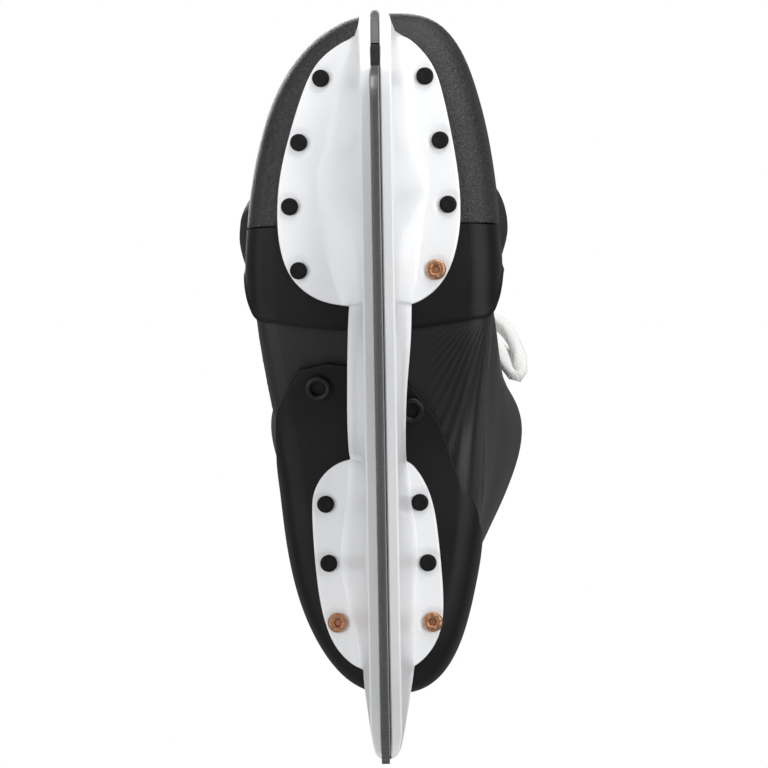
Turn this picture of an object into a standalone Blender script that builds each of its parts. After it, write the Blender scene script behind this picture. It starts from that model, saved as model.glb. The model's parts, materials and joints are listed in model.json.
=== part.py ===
"""Hockey skate, right foot: boot, blade holder, steel runner, rivets, laces.

Frame: the skate stands on its runner. +Z is up, the toe points to -Y, the heel to +Y and the
big-toe side is +X. X = 0 is the middle of the steel, Z = 0 is the bottom of the steel.
All dimensions below are millimetres; MM turns them into metres when a mesh is made.
"""
import math

import bmesh
import bpy
from mathutils import Matrix, Vector

MM = 0.001
GAP = 0.3                    # clearance between touching pieces

# heights of the sole above the ice
SOLE_FRONT = 54.8            # underside of the forefoot
SOLE_LIFT = 12.0             # the heel stands this much higher
LIFT_START, LIFT_END = -30.0, 23.0
LIFT_FADE_LOW, LIFT_FADE_HIGH = 18.0, 56.0

# skins of the boot, each measured inward from the outside of the boot
OVERLAY = 2.5                # toe cap and outsole thickness
SHELL_DEPTH = 3.3            # outer face of the composite shell
SHELL = 2.6
LINER_DEPTH = 8.4
LINER = 4.0
TONGUE_DEPTH = 6.8
TONGUE = 6.5

SEAM_Y = -64.4               # joint between toe cap and forefoot outsole

FOOTBED = 4.0
FOOTBED_Y = (-70.0, 110.0)
FOOTBED_STEPS = 30
FOOTBED_LEVEL = 7.0          # the footbed's outline is this ring's, pulled in
FOOTBED_INSET = 14.0
FOOTBED_CLEARANCE = 1.4

# rings of the boot: (rise above the sole, toe end y, heel end y, half width of the forefoot,
# half width of the heel, roundness exponent at the toe, at the heel, sideways shift at the ankle)
RINGS = (
    (0.0, -141.0, 117.0, 42.4, 34.4, 2.6, 2.55, 0.0),
    (2.2, -146.4, 122.5, 47.7, 39.4, 2.62, 2.55, 0.0),
    (7.0, -150.8, 127.0, 51.5, 42.9, 2.65, 2.55, 0.0),
    (15.0, -152.5, 129.5, 53.5, 45.0, 2.67, 2.55, 0.0),
    (27.0, -152.5, 130.5, 54.0, 45.7, 2.67, 2.55, 0.3),
    (38.0, -149.2, 130.5, 52.0, 45.8, 2.65, 2.5, 0.8),
    (46.0, -141.0, 130.0, 48.8, 45.8, 2.65, 2.45, 1.4),
    (52.0, -126.0, 129.5, 47.6, 45.6, 2.7, 2.4, 2.0),
    (60.0, -105.0, 128.5, 49.4, 45.2, 2.8, 2.35, 2.8),
    (74.0, -86.0, 126.0, 52.4, 44.6, 3.0, 2.3, 4.0),
    (92.0, -62.0, 121.5, 54.0, 43.6, 2.9, 2.3, 5.0),
    (110.0, -42.0, 117.0, 57.0, 44.4, 2.8, 2.3, 5.2),
    (130.0, -26.0, 114.5, 62.0, 45.2, 2.9, 2.3, 5.0),
    (148.0, -17.0, 115.0, 66.5, 46.0, 3.0, 2.3, 4.8),
    (160.0, -14.0, 117.0, 67.5, 46.2, 3.0, 2.3, 4.6),
    (176.0, -16.0, 121.0, 66.5, 45.8, 2.9, 2.3, 4.4),
    (206.0, -25.0, 128.0, 64.5, 44.5, 2.8, 2.3, 4.2),
)
CENTRE = ((-157.0, 7.0), (-140.0, 2.0), (-115.0, -1.5), (-60.0, -3.3), (0.0, -3.0), (20.0, -2.2),
          (45.0, -1.0), (75.0, -1.0), (95.0, -0.5), (132.0, 2.2))
FLOOR_INSET = 16.0
FLOOR_STEPS = (-1.0, -0.55, -0.2)
TURN_WEIGHT = 70.0           # mm of ring length that one radian of turn counts for
SOLE_LEVELS = FLOOR_STEPS + (0.0, 2.2, 7.0, 15.0, 27.0)

# blade holder
RAIL_Z = 20.0
RAIL_HALF = 6.3
SLOT_HALF = 1.8
SLOT_TOP = 34.2
PLATE = 3.0
FRONT_PLATE_TOP = SOLE_FRONT - GAP
REAR_PLATE_TOP = SOLE_FRONT + SOLE_LIFT - GAP
FRONT_PLATE = ((-9.4, -140.5), (-17.6, -136.0), (-23.1, -131.4), (-27.4, -125.5), (-32.6, -112.3),
               (-38.8, -91.5), (-41.4, -75.8), (-41.3, -58.1), (-37.6, -44.8), (-30.0, -36.6),
               (-20.1, -32.2), (0.0, -30.4), (13.2, -31.6), (22.5, -37.4), (28.8, -46.8),
               (32.5, -61.4), (32.8, -76.9), (30.8, -93.9), (26.2, -118.2), (22.5, -129.1),
               (14.9, -138.1), (8.8, -141.3))
REAR_PLATE = ((-14.2, 29.8), (-24.1, 34.9), (-29.4, 43.5), (-30.1, 52.0), (-29.1, 73.6), (-27.0, 91.6),
              (-22.9, 105.3), (-15.5, 114.5), (-7.0, 118.0), (6.0, 118.0), (14.5, 113.8),
              (21.3, 104.5), (23.7, 92.0), (22.0, 65.8), (19.9, 48.6), (15.0, 37.1), (8.5, 30.2))
PLATE_ROUNDING = 3           # smoothing passes of a plate's outline
FRONT_RIVETS = ((-22.8, -123.6), (-32.1, -97.9), (-36.2, -72.1), (-33.0, -46.2),
                (19.2, -123.7), (24.9, -97.8), (27.7, -71.9), (22.4, -45.7))
REAR_RIVETS = ((-24.3, 48.8), (-23.4, 73.0), (-20.1, 97.3), (14.3, 48.6), (17.2, 73.3), (18.8, 97.5))
COPPER_RIVETS = ("rivet_front_8", "rivet_rear_3", "rivet_rear_6")
RIVET_HEAD = 3.5
RIVET_SHANK = 2.2
RIVET_HEAD_RISE = 1.0

# steel runner
STEEL_HALF = 1.5
RUNNER_FRONT = -122.8
RUNNER_BACK = 145.4
RUNNER_TOP = 33.6
LOCK_FRONT = -132.8

VENTS = (("lateral", -26.6, 1.0), ("medial", 11.6, 10.6))
VENT_RING = 5.2
VENT_HOLE = 3.9

EYELETS = 10
EYELET_FIRST, EYELET_LAST = 66.0, 145.0      # rises of the first and last eyelet
EYELET_FROM_EDGE = 7.5
EYELET_FLANGE = 3.6
EYELET_BARREL = 2.4
EYELET_BORE = 1.7
LACE = 1.5                                   # half thickness of a lace strand
BOW = 2.0                                    # the same in the bow, where the lace bunches up


def clear_scene():
    for obj in list(bpy.data.objects):
        bpy.data.objects.remove(obj, do_unlink=True)


def make_material(name, color, roughness, metallic=0.0):
    material = bpy.data.materials.new(name)
    material.use_nodes = True
    shader = material.node_tree.nodes["Principled BSDF"]
    shader.inputs["Base Color"].default_value = (*color, 1.0)
    shader.inputs["Roughness"].default_value = roughness
    shader.inputs["Metallic"].default_value = metallic
    return material


def add_object(name, bm, material, smooth_angle=35.0):
    """Turn a bmesh in millimetres into an object in metres."""
    bmesh.ops.scale(bm, vec=(MM, MM, MM), verts=bm.verts)
    bmesh.ops.recalc_face_normals(bm, faces=bm.faces)
    mesh = bpy.data.meshes.new(name)
    bm.to_mesh(mesh)
    bm.free()
    mesh.shade_smooth()
    mesh.set_sharp_from_angle(angle=math.radians(smooth_angle))
    mesh.materials.append(material)
    obj = bpy.data.objects.new(name, mesh)
    bpy.context.scene.collection.objects.link(obj)
    return obj


def smoothstep(low, high, value):
    t = min(1.0, max(0.0, (value - low) / (high - low)))
    return t * t * (3.0 - 2.0 * t)


def along(table, value):
    """Smooth value of a table of (place, value) pairs."""
    if value <= table[0][0]:
        return table[0][1]
    for (low, a), (high, b) in zip(table, table[1:]):
        if value <= high:
            return a + (b - a) * smoothstep(low, high, value)
    return table[-1][1]


def linear(table, value):
    """Straight-line value of a table of (place, value) pairs."""
    if value <= table[0][0]:
        return table[0][1]
    for (low, a), (high, b) in zip(table, table[1:]):
        if value <= high:
            return a + (b - a) * (value - low) / (high - low)
    return table[-1][1]


# ---------------------------------------------------------------- outside form of the boot

def ring_at(level):
    """Ring dimensions at any level, from a Catmull-Rom curve through RINGS. Floor rings are shorter
    than the lowest ring, by up to FLOOR_INSET at each end."""
    rise = min(RINGS[-1][0], max(0.0, level))
    index = 0
    while index < len(RINGS) - 2 and rise > RINGS[index + 1][0]:
        index += 1
    before = RINGS[max(0, index - 1)]
    a, b = RINGS[index], RINGS[index + 1]
    after = RINGS[min(len(RINGS) - 1, index + 2)]
    span = b[0] - a[0]
    t = (rise - a[0]) / span
    out = []
    for k in range(1, len(a)):
        slope_a = (b[k] - before[k]) / max(1.0, b[0] - before[0]) * span
        slope_b = (after[k] - a[k]) / max(1.0, after[0] - a[0]) * span
        out.append((2 * t ** 3 - 3 * t ** 2 + 1) * a[k] + (t ** 3 - 2 * t ** 2 + t) * slope_a
                   + (3 * t ** 2 - 2 * t ** 3) * b[k] + (t ** 3 - t ** 2) * slope_b)
    inset = -FLOOR_INSET * min(0.0, level)
    out[0] += inset
    out[1] -= inset
    return out


def sole_z(y):
    return SOLE_FRONT + SOLE_LIFT * smoothstep(LIFT_START, LIFT_END, y)


def form(level, turn):
    """Point of the boot's outside. Level below 0 is the floor (-1 on the centre line), above 0 it is
    the rise over the sole. Turn is 0 at the toe, pi/2 on the big-toe side and pi at the heel."""
    toe, heel, fore_half, heel_half, toe_power, heel_power, shift = ring_at(level)
    cosine, sine = math.cos(turn), math.sin(turn)
    power = toe_power if cosine > 0 else heel_power
    rise = max(0.0, level)
    y = (toe + heel) / 2 - (heel - toe) / 2 * math.copysign(abs(cosine) ** (2 / power), cosine)
    upper = smoothstep(40.0, 120.0, rise)
    taper = smoothstep(-55.0 + 60.0 * upper, 45.0 + 50.0 * upper, y)
    half = fore_half + (heel_half - fore_half) * taper
    side = half * math.copysign(abs(sine) ** (2 / power), sine)
    spread = 1.0 + min(0.0, level)
    x = along(CENTRE, y) + shift * (1.0 - 0.6 * smoothstep(20.0, 90.0, y)) + side * spread
    fade = 1.0 - smoothstep(LIFT_FADE_LOW, LIFT_FADE_HIGH, rise)
    z = SOLE_FRONT + rise + (sole_z(y) - SOLE_FRONT) * fade
    return Vector((x, y, z))


def turn_at_y(level, y):
    """Turn on the big-toe side where a ring passes a given y."""
    toe, heel, _, _, toe_power, heel_power, _ = ring_at(level)
    u = (y - (toe + heel) / 2) / ((heel - toe) / 2)
    u = min(0.9999, max(-0.9999, u))
    power = toe_power if u < 0 else heel_power
    return math.acos(-math.copysign(abs(u) ** (power / 2), u))


def turn_at_half(level, half):
    """Turn near the front where the ring's half width reaches a given value."""
    _, _, fore_half, _, power, _, _ = ring_at(level)
    return math.asin(min(1.0, (half / fore_half) ** (power / 2)))


def turn_from_heel(level, half):
    """Turn near the heel where the ring's half width comes down to a given value."""
    _, _, _, heel_half, _, power, _ = ring_at(level)
    return math.pi - math.asin(min(1.0, (half / heel_half) ** (power / 2)))


def throat_half(level):
    """Half width of the lace opening at a rise."""
    return linear(((50.0, 15.0), (60.0, 19.0), (90.0, 23.0), (150.0, 28.0)), level)


def even_turns(level, start, stop, columns):
    """Turns from start to stop, spaced evenly by length along the ring and by angle together."""
    fine = 6 * columns
    travelled = [0.0]
    last = form(level, start)
    for i in range(1, fine + 1):
        here = form(level, start + (stop - start) * i / fine)
        travelled.append(travelled[-1] + (here - last).length + TURN_WEIGHT * (stop - start) / fine)
        last = here
    turns = [start]
    index = 0
    for j in range(1, columns):
        target = travelled[-1] * j / columns
        while travelled[index + 1] < target:
            index += 1
        part = (target - travelled[index]) / (travelled[index + 1] - travelled[index])
        turns.append(start + (stop - start) * (index + part) / fine)
    return turns + [stop]


def skin(name, material, levels, edge, columns, depth, thickness, around_heel=True):
    """A closed shell of one thickness on a stretch of the boot's outside.

    edge(level, side) is the turn where the stretch starts on a side (+1 big toe, -1 little toe)."""
    bm = bmesh.new()
    rows = []
    for level in levels:
        start = edge(level, 1)
        stop = edge(level, -1)
        if around_heel:
            turns = even_turns(level, start, 2 * math.pi - stop, columns)
        else:
            turns = even_turns(level, -stop, start, columns)
        rows.append([bm.verts.new(form(level, turn)) for turn in turns])
    for lower, upper in zip(rows, rows[1:]):
        for j in range(columns):
            bm.faces.new((lower[j], lower[j + 1], upper[j + 1], upper[j]))
    if levels[0] <= -1.0:
        bmesh.ops.remove_doubles(bm, verts=rows[0], dist=0.05)
    bmesh.ops.dissolve_degenerate(bm, edges=bm.edges, dist=0.001)
    bmesh.ops.recalc_face_normals(bm, faces=bm.faces)
    probe = max(bm.verts, key=lambda v: v.co.x)
    if probe.normal.x < 0:
        bmesh.ops.reverse_faces(bm, faces=bm.faces)
    bm.normal_update()
    if depth:
        moves = [(v, v.co - v.normal * depth * v.calc_shell_factor()) for v in bm.verts]
        for vert, place in moves:
            vert.co = place
    return thick_sheet(name, bm, material, thickness)


def thick_sheet(name, bm, material, thickness):
    """An open sheet in millimetres, made solid inward by one thickness."""
    bmesh.ops.scale(bm, vec=(MM, MM, MM), verts=bm.verts)
    mesh = bpy.data.meshes.new(name)
    bm.to_mesh(mesh)
    bm.free()
    mesh.shade_smooth()
    mesh.materials.append(material)
    obj = bpy.data.objects.new(name, mesh)
    bpy.context.scene.collection.objects.link(obj)
    thicken = obj.modifiers.new("thickness", "SOLIDIFY")
    thicken.thickness = thickness * MM
    thicken.offset = -1.0
    thicken.use_even_offset = True
    thicken.use_quality_normals = True
    return obj


# ---------------------------------------------------------------- boot pieces

def cap_edge(level, side):
    """Rear edge of the toe cap: straight across the sole, then forward up the sides."""
    return turn_at_y(level, SEAM_Y - GAP - 27.0 * smoothstep(12.0, 46.0, level))


def make_toe_cap(material):
    levels = SOLE_LEVELS + (34.0, 40.0, 45.0, 49.0, 52.0, 55.0, 58.0)
    return skin("toe_cap", material, levels, cap_edge, 24, 0.0, OVERLAY, around_heel=False)


def outsole_rear_y(level):
    """Rear lip of the forefoot outsole: straight across the middle, sweeping forward at the sides."""
    across = min(1.0, 1.0 + level)
    return -21.5 - 4.0 * across ** 2 - 19.0 * smoothstep(0.0, 20.0, level)


def make_forefoot_outsole(material):
    """A band from the toe cap's seam back to the lip."""
    bm = bmesh.new()
    levels = SOLE_LEVELS + (20.0,)
    columns = 9
    crossing = []
    for side in (1, -1):
        ordered = levels if side == 1 else levels[1:]
        for level in ordered:
            front = turn_at_y(level, SEAM_Y + GAP)
            rear = turn_at_y(level, outsole_rear_y(level))
            line = []
            for j in range(columns + 1):
                turn = front + (rear - front) * j / columns
                line.append(form(level, turn if side == 1 else -turn))
            crossing.append((side * (2.0 + level), line))
    crossing.sort(key=lambda item: item[0])
    rows = [[bm.verts.new(p) for p in line] for _, line in crossing]
    for lower, upper in zip(rows, rows[1:]):
        for j in range(columns):
            bm.faces.new((lower[j], upper[j], upper[j + 1], lower[j + 1]))
    bm.normal_update()
    if sum(f.normal.z for f in bm.faces) > 0:
        bmesh.ops.reverse_faces(bm, faces=bm.faces)
    return thick_sheet("forefoot_outsole", bm, material, OVERLAY)


def heel_edge(level, side):
    """Front edge of the heel overlay, further back on the big-toe side."""
    across = min(1.0, 1.0 + level)
    if side > 0:
        y = -6.0 + linear(((0.0, 0.0), (0.4, 8.0), (0.7, 22.0), (1.0, 50.0)), across)
        y += linear(((0.0, 0.0), (7.0, 14.0), (27.0, 30.0), (45.0, 60.0)), level)
    else:
        y = -6.0 + linear(((0.0, 0.0), (0.5, -2.5), (0.8, 0.0), (1.0, 10.0)), across)
        y += linear(((0.0, 0.0), (7.0, 22.0), (27.0, 52.0), (45.0, 90.0)), level)
    return turn_at_y(level, y)


def make_heel_outsole(material):
    levels = SOLE_LEVELS + (34.0, 40.0)
    return skin("heel_outsole", material, levels, heel_edge, 28, 0.0, OVERLAY)


def shell_edge(level, side):
    """Under the toe cap the shell stops short; above, its edge is the lace opening."""
    low = turn_at_y(level, SEAM_Y - 14.0)
    high = turn_at_half(level, throat_half(level))
    return low + (high - low) * smoothstep(40.0, 58.0, level)


def make_boot_shell(material):
    levels = SOLE_LEVELS + (40.0, 45.0, 50.0, 60.0, 74.0, 92.0, 111.0, 130.0, 150.0)
    return skin("boot_shell", material, levels, shell_edge, 36, SHELL_DEPTH, SHELL)


def liner_edge(level, side):
    low = turn_at_y(level, SEAM_Y + 6.0)
    high = turn_at_half(level, throat_half(level) + 13.0 - 3.0 * smoothstep(70.0, 100.0, level))
    return low + (high - low) * smoothstep(46.0, 62.0, level)


def make_liner(material):
    levels = (20.0, 27.0, 40.0, 45.0, 50.0, 60.0, 74.0, 92.0, 111.0, 130.0, 149.0)
    return skin("ankle_liner", material, levels, liner_edge, 34, LINER_DEPTH, LINER)


def collar_edge(level, side):
    return turn_at_half(level, throat_half(150.0) + 7.0)


def make_collar(material):
    """Padded topline that stands on the shell's upper rim."""
    levels = (151.4, 154.0, 157.0, 160.0)
    return skin("collar_padding", material, levels, collar_edge, 24, 3.4, 7.0)


def guard_edge(level, side):
    return turn_from_heel(level, along(((160.0, 32.0), (180.0, 30.0), (204.0, 15.0)), level))


def make_tendon_guard(material):
    """Plastic guard behind the ankle that bends back at the collar."""
    levels = (161.2, 168.0, 176.0, 184.0, 192.0, 199.0, 204.0)
    return skin("tendon_guard", material, levels, guard_edge, 12, 3.0, 4.0)


def tongue_sheet(name, material, levels, half_of, depth, thickness):
    return skin(name, material, levels, lambda level, side: turn_at_half(level, half_of(level)),
                10, depth, thickness, around_heel=False)


def make_tongue(material, flap_material):
    lower = tongue_sheet("tongue_lower", material,
                         (62.0, 72.0, 82.0, 92.0, 104.0, 117.0, 132.0, 148.0),
                         lambda level: throat_half(level) + 4.0, TONGUE_DEPTH, TONGUE)
    upper = tongue_sheet("tongue_flap", flap_material,
                         (150.6, 160.0, 170.0, 180.0, 190.0, 196.0, 200.0),
                         lambda level: linear(((150.0, 28.0), (165.0, 28.5), (190.0, 26.0),
                                               (200.0, 17.0)), level), 0.0, 8.0)
    return lower, upper


def make_footbed(material):
    """Removable insole lying on the shell's floor."""
    rows = []
    bm = bmesh.new()
    for step in range(FOOTBED_STEPS + 1):
        y = FOOTBED_Y[0] + (FOOTBED_Y[1] - FOOTBED_Y[0]) * step / FOOTBED_STEPS
        turn = turn_at_y(FOOTBED_LEVEL, y)
        inset = FOOTBED_INSET + 4.0 * smoothstep(80.0, FOOTBED_Y[1], y)
        right = form(FOOTBED_LEVEL, turn).x - inset
        left = form(FOOTBED_LEVEL, -turn).x + inset
        low = sole_z(y) + SHELL_DEPTH + SHELL + FOOTBED_CLEARANCE
        rows.append([bm.verts.new((x, y, z)) for z in (low, low + FOOTBED) for x in (right, left)])
    for a, b in zip(rows, rows[1:]):
        bm.faces.new((a[0], b[0], b[1], a[1]))
        bm.faces.new((a[2], a[3], b[3], b[2]))
        bm.faces.new((a[0], a[2], b[2], b[0]))
        bm.faces.new((a[1], b[1], b[3], a[3]))
    for row in (rows[0], rows[-1]):
        bm.faces.new((row[0], row[1], row[3], row[2]))
    return add_object("footbed", bm, material)


# ---------------------------------------------------------------- blade holder and steel

def rounded(outline, passes):
    """Chaikin corner cutting of a closed outline."""
    for _ in range(passes):
        finer = []
        for a, b in zip(outline, outline[1:] + outline[:1]):
            finer.append((0.75 * a[0] + 0.25 * b[0], 0.75 * a[1] + 0.25 * b[1]))
            finer.append((0.25 * a[0] + 0.75 * b[0], 0.25 * a[1] + 0.75 * b[1]))
        outline = finer
    return outline


def prism(bm, outline, low, high):
    """A closed slab with a given outline between two heights."""
    bottom = [bm.verts.new((x, y, low)) for x, y in outline]
    top = [bm.verts.new((x, y, high)) for x, y in outline]
    count = len(outline)
    bm.faces.new(bottom)
    bm.faces.new(top[::-1])
    for i in range(count):
        j = (i + 1) % count
        bm.faces.new((bottom[i], top[i], top[j], bottom[j]))


def slab(name, outline, low, high, material):
    bm = bmesh.new()
    prism(bm, outline, low, high)
    return add_object(name, bm, material)


def loft(name, rings, material):
    """A closed solid through rings that all have the same number of points."""
    bm = bmesh.new()
    loops = [[bm.verts.new(p) for p in ring] for ring in rings]
    for a, b in zip(loops, loops[1:]):
        count = len(a)
        for i in range(count):
            j = (i + 1) % count
            bm.faces.new((a[i], b[i], b[j], a[j]))
    bm.faces.new(loops[0])
    bm.faces.new(loops[-1][::-1])
    bmesh.ops.remove_doubles(bm, verts=bm.verts, dist=0.001)
    return add_object(name, bm, material)


def lens(front, back, left, right, wide_y, z, tip=2.2, points=20, power=2.0):
    """A leaf outline: pointed-round ends, widest at wide_y."""
    ring = []
    for i in range(points):
        t = 2 * math.pi * i / points
        along_y = -math.cos(t)
        y = wide_y + along_y * ((wide_y - front) if along_y < 0 else (back - wide_y))
        reach = abs(math.sin(t)) ** power
        half = (right if math.sin(t) > 0 else left)
        x = math.copysign(tip * abs(math.sin(t)) + (half - tip) * reach, math.sin(t))
        ring.append((x, y, z))
    return ring


def rail_bottom(y):
    """Lower edge of the rails: level, turning up at the nose."""
    return RAIL_Z + 7.0 * smoothstep(-112.0, -146.0, y) + 3.0 * smoothstep(112.0, 146.0, y)


def make_keel(material):
    """The long bar that grips the steel from nose to tail."""
    widths = ((-147.6, 2.6), (-146.4, 4.4), (-143.6, 6.0), (-138.0, 7.8), (-128.0, 10.2), (-108.0, 12.0),
              (-20.0, 12.4), (30.0, 11.4), (95.0, 11.4), (116.0, 10.4), (131.0, 7.9), (140.0, 6.0),
              (144.4, 4.6), (146.0, 3.0))
    tops = ((-147.6, 38.0), (-138.0, 49.0), (-120.0, 49.0), (-60.0, 44.0), (-20.0, 38.5),
            (30.0, 38.5), (70.0, 46.0), (112.0, 58.0), (122.0, 50.0), (136.0, 37.0), (146.0, 30.5))
    stations = sorted(set([w[0] for w in widths] + [-132.0, -118.0, -90.0, -72.0, -54.0, -36.0, 0.0,
                                                   15.0, 45.0, 60.0, 76.0, 106.0, 122.0]))
    rings = []
    for y in stations:
        half = linear(widths, y)
        low = rail_bottom(y)
        top = linear(tops, y)
        rim = min(RAIL_HALF, half * 0.92)
        side = [(rim, low), (rim + (half - rim) * 0.25, low + 4.0),
                (rim + (half - rim) * 0.62, low + 9.0), (half, low + 15.5), (half * 0.94, top)]
        side = [(x, min(z, top - 0.2 * (4 - i))) for i, (x, z) in enumerate(side)]
        ring = [(x, y, z) for x, z in side] + [(-x, y, z) for x, z in reversed(side)]
        rings.append(ring)
    return loft("keel", rings, material)


def make_tower(name, front, back, slices, material):
    rings = [lens(front(z), back(z), left, right, wide_y, z, power=power)
             for z, left, right, wide_y, power in slices]
    return loft(name, rings, material)


def cut(target, cutter, operation="DIFFERENCE"):
    modifier = target.modifiers.new(cutter.name, "BOOLEAN")
    modifier.operation = operation
    modifier.object = cutter
    modifier.solver = "EXACT"
    cutter.hide_render = True
    cutter.display_type = "WIRE"


def box(name, low, high, material):
    outline = ((low[0], low[1]), (high[0], low[1]), (high[0], high[1]), (low[0], high[1]))
    return slab(name, outline, low[2], high[2], material)


def post(name, x, y, low, high, radius, material, sides=12):
    outline = [(x + radius * math.cos(2 * math.pi * i / sides),
                y + radius * math.sin(2 * math.pi * i / sides)) for i in range(sides)]
    return slab(name, outline, low, high, material)


def make_holder(material):
    holder = make_keel(material)
    holder.name = "blade_holder"
    front_low = FRONT_PLATE_TOP - PLATE
    rear_low = REAR_PLATE_TOP - PLATE
    pieces = [
        make_tower("front_tower", lambda z: -144.0 + 0.10 * (z - 26.0),
                   lambda z: -8.0 - 0.85 * (z - 26.0),
                   ((27.0, 8.0, 8.0, -92.0, 1.0), (33.0, 12.5, 11.5, -86.0, 1.0),
                    (39.0, 18.5, 15.0, -82.0, 1.2), (45.0, 25.0, 19.5, -78.0, 1.3),
                    (49.5, 30.0, 23.5, -76.0, 1.3), (front_low + 0.8, 35.0, 27.5, -76.0, 1.2)),
                   material),
        make_tower("rear_tower", lambda z: 6.0 + 0.62 * (z - 26.0),
                   lambda z: 141.0 - 0.62 * (z - 26.0),
                   ((27.0, 8.0, 8.0, 78.0, 1.0), (36.0, 11.5, 11.0, 78.0, 1.0),
                    (46.0, 14.0, 12.5, 78.0, 1.1), (55.0, 17.5, 14.5, 78.0, 1.2),
                    (61.0, 21.5, 17.5, 78.0, 1.2), (rear_low + 0.8, 25.0, 20.5, 78.0, 1.1)),
                   material),
        slab("front_plate", rounded(list(FRONT_PLATE), PLATE_ROUNDING - 1), front_low,
             FRONT_PLATE_TOP, material),
        slab("rear_plate", rounded(list(REAR_PLATE), PLATE_ROUNDING - 1), rear_low, REAR_PLATE_TOP,
             material),
    ]
    for piece in pieces:
        cut(holder, piece, "UNION")
    cutters = [
        box("slot", (-SLOT_HALF, -143.2, 5.0), (SLOT_HALF, 160.0, SLOT_TOP), material),
        box("lock_pocket", (-SLOT_HALF, LOCK_FRONT - GAP, 10.0), (SLOT_HALF, RUNNER_FRONT - GAP, 44.0),
            material),
    ]
    for x, y in FRONT_RIVETS:
        cutters.append(post("hole", x, y, front_low - 9.0, FRONT_PLATE_TOP + 2.0, RIVET_SHANK + GAP,
                            material))
    for x, y in REAR_RIVETS:
        cutters.append(post("hole", x, y, rear_low - 9.0, REAR_PLATE_TOP + 2.0, RIVET_SHANK + GAP,
                            material))
    for x, y in FRONT_RIVETS:
        cutters.append(post("spotface", x, y, front_low - 9.0, front_low, RIVET_HEAD + 0.9, material,
                            16))
    for x, y in REAR_RIVETS:
        cutters.append(post("spotface", x, y, rear_low - 9.0, rear_low, RIVET_HEAD + 0.9, material,
                            16))
    for cutter in cutters:
        cut(holder, cutter)
    return holder


def make_runner(material):
    """Steel blade: flat in the middle, rocker towards both ends."""
    outline = [(-30.0, 0.0), (30.0, 0.0), (70.0, 0.35), (105.0, 1.3), (128.0, 2.8), (138.0, 4.6),
               (143.6, 7.4), (RUNNER_BACK, 9.8), (RUNNER_BACK - 0.6, 14.0), (141.5, 22.0),
               (139.0, RUNNER_TOP), (-121.0, RUNNER_TOP), (RUNNER_FRONT, 31.6),
               (RUNNER_FRONT, 15.0)]
    centre_y, radius = -104.5, 18.0
    for k in range(1, 7):
        angle = math.radians(180.0 + 14.0 * k)
        outline.append((centre_y + radius * math.cos(angle), 18.6 + radius * math.sin(angle)))
    outline.append((-85.0, 0.5))
    bm = bmesh.new()
    left = [bm.verts.new((-STEEL_HALF, y, z)) for y, z in outline]
    right = [bm.verts.new((STEEL_HALF, y, z)) for y, z in outline]
    bm.faces.new(left)
    bm.faces.new(right[::-1])
    count = len(outline)
    for i in range(count):
        j = (i + 1) % count
        bm.faces.new((left[i], right[i], right[j], left[j]))
    return add_object("runner", bm, material)


def side_plate(name, outline, half, material):
    """A flat piece in the blade's plane from a (y, z) outline."""
    bm = bmesh.new()
    left = [bm.verts.new((-half, y, z)) for y, z in outline]
    right = [bm.verts.new((half, y, z)) for y, z in outline]
    bm.faces.new(left)
    bm.faces.new(right[::-1])
    count = len(outline)
    for i in range(count):
        j = (i + 1) % count
        bm.faces.new((left[i], right[i], right[j], left[j]))
    return add_object(name, bm, material)


def make_toe_lock(material, steel):
    """Sprung lock in the nose that keeps the steel's front end in the slot."""
    lock_half = SLOT_HALF - GAP
    front, back = LOCK_FRONT + 0.1, RUNNER_FRONT - 2 * GAP
    side_plate("toe_lock", ((front, 25.5), (front + 1.2, 23.5), (back, 22.0), (back, 33.0),
                            (front, 33.0)), lock_half, material)
    side_plate("nose_hook", ((-142.8, 28.6), (LOCK_FRONT - GAP - 0.2, 26.0),
                             (LOCK_FRONT - GAP - 0.2, 33.8), (-142.8, 33.8)), lock_half, steel)
    make_lock_spring(steel, (front + back) / 2, 33.4, 43.6)


def make_lock_spring(material, y, low, high):
    curve = bpy.data.curves.new("lock_spring", "CURVE")
    curve.dimensions = "3D"
    curve.bevel_depth = 0.28 * MM
    curve.bevel_resolution = 1
    curve.render_resolution_u = 0
    curve.use_fill_caps = True
    spline = curve.splines.new("POLY")
    turns, per_turn = 4, 8
    count = turns * per_turn + 1
    spline.points.add(count - 1)
    for i in range(count):
        angle = 2 * math.pi * i / per_turn
        z = low + 0.3 + (high - low - 0.6) * i / (count - 1)
        spline.points[i].co = (1.1 * math.cos(angle) * MM, (y + 1.1 * math.sin(angle)) * MM, z * MM, 1)
    obj = bpy.data.objects.new("lock_spring", curve)
    curve.materials.append(material)
    bpy.context.scene.collection.objects.link(obj)
    return obj


def turned(name, profile, place, axis, material, sides=14):
    """A round piece from an (r, height) profile, its axis through a place."""
    bm = bmesh.new()
    rotation = Vector((0, 0, 1)).rotation_difference(Vector(axis)).to_matrix().to_4x4()
    move = Matrix.Translation(Vector(place)) @ rotation
    rings = []
    for r, h in profile:
        if r < 0.001:
            rings.append([bm.verts.new(move @ Vector((0, 0, h)))])
            continue
        rings.append([bm.verts.new(move @ Vector((r * math.cos(2 * math.pi * i / sides),
                                                  r * math.sin(2 * math.pi * i / sides), h)))
                      for i in range(sides)])
    loops = list(zip(rings, rings[1:]))
    if profile[0][0] > 0.001:
        loops.append((rings[-1], rings[0]))
    for a, b in loops:
        for i in range(sides):
            j = (i + 1) % sides
            quad = [a[i % len(a)], b[i % len(b)], b[j % len(b)], a[j % len(a)]]
            corners = list(dict.fromkeys(quad))
            bm.faces.new(corners)
    return add_object(name, bm, material)


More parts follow.
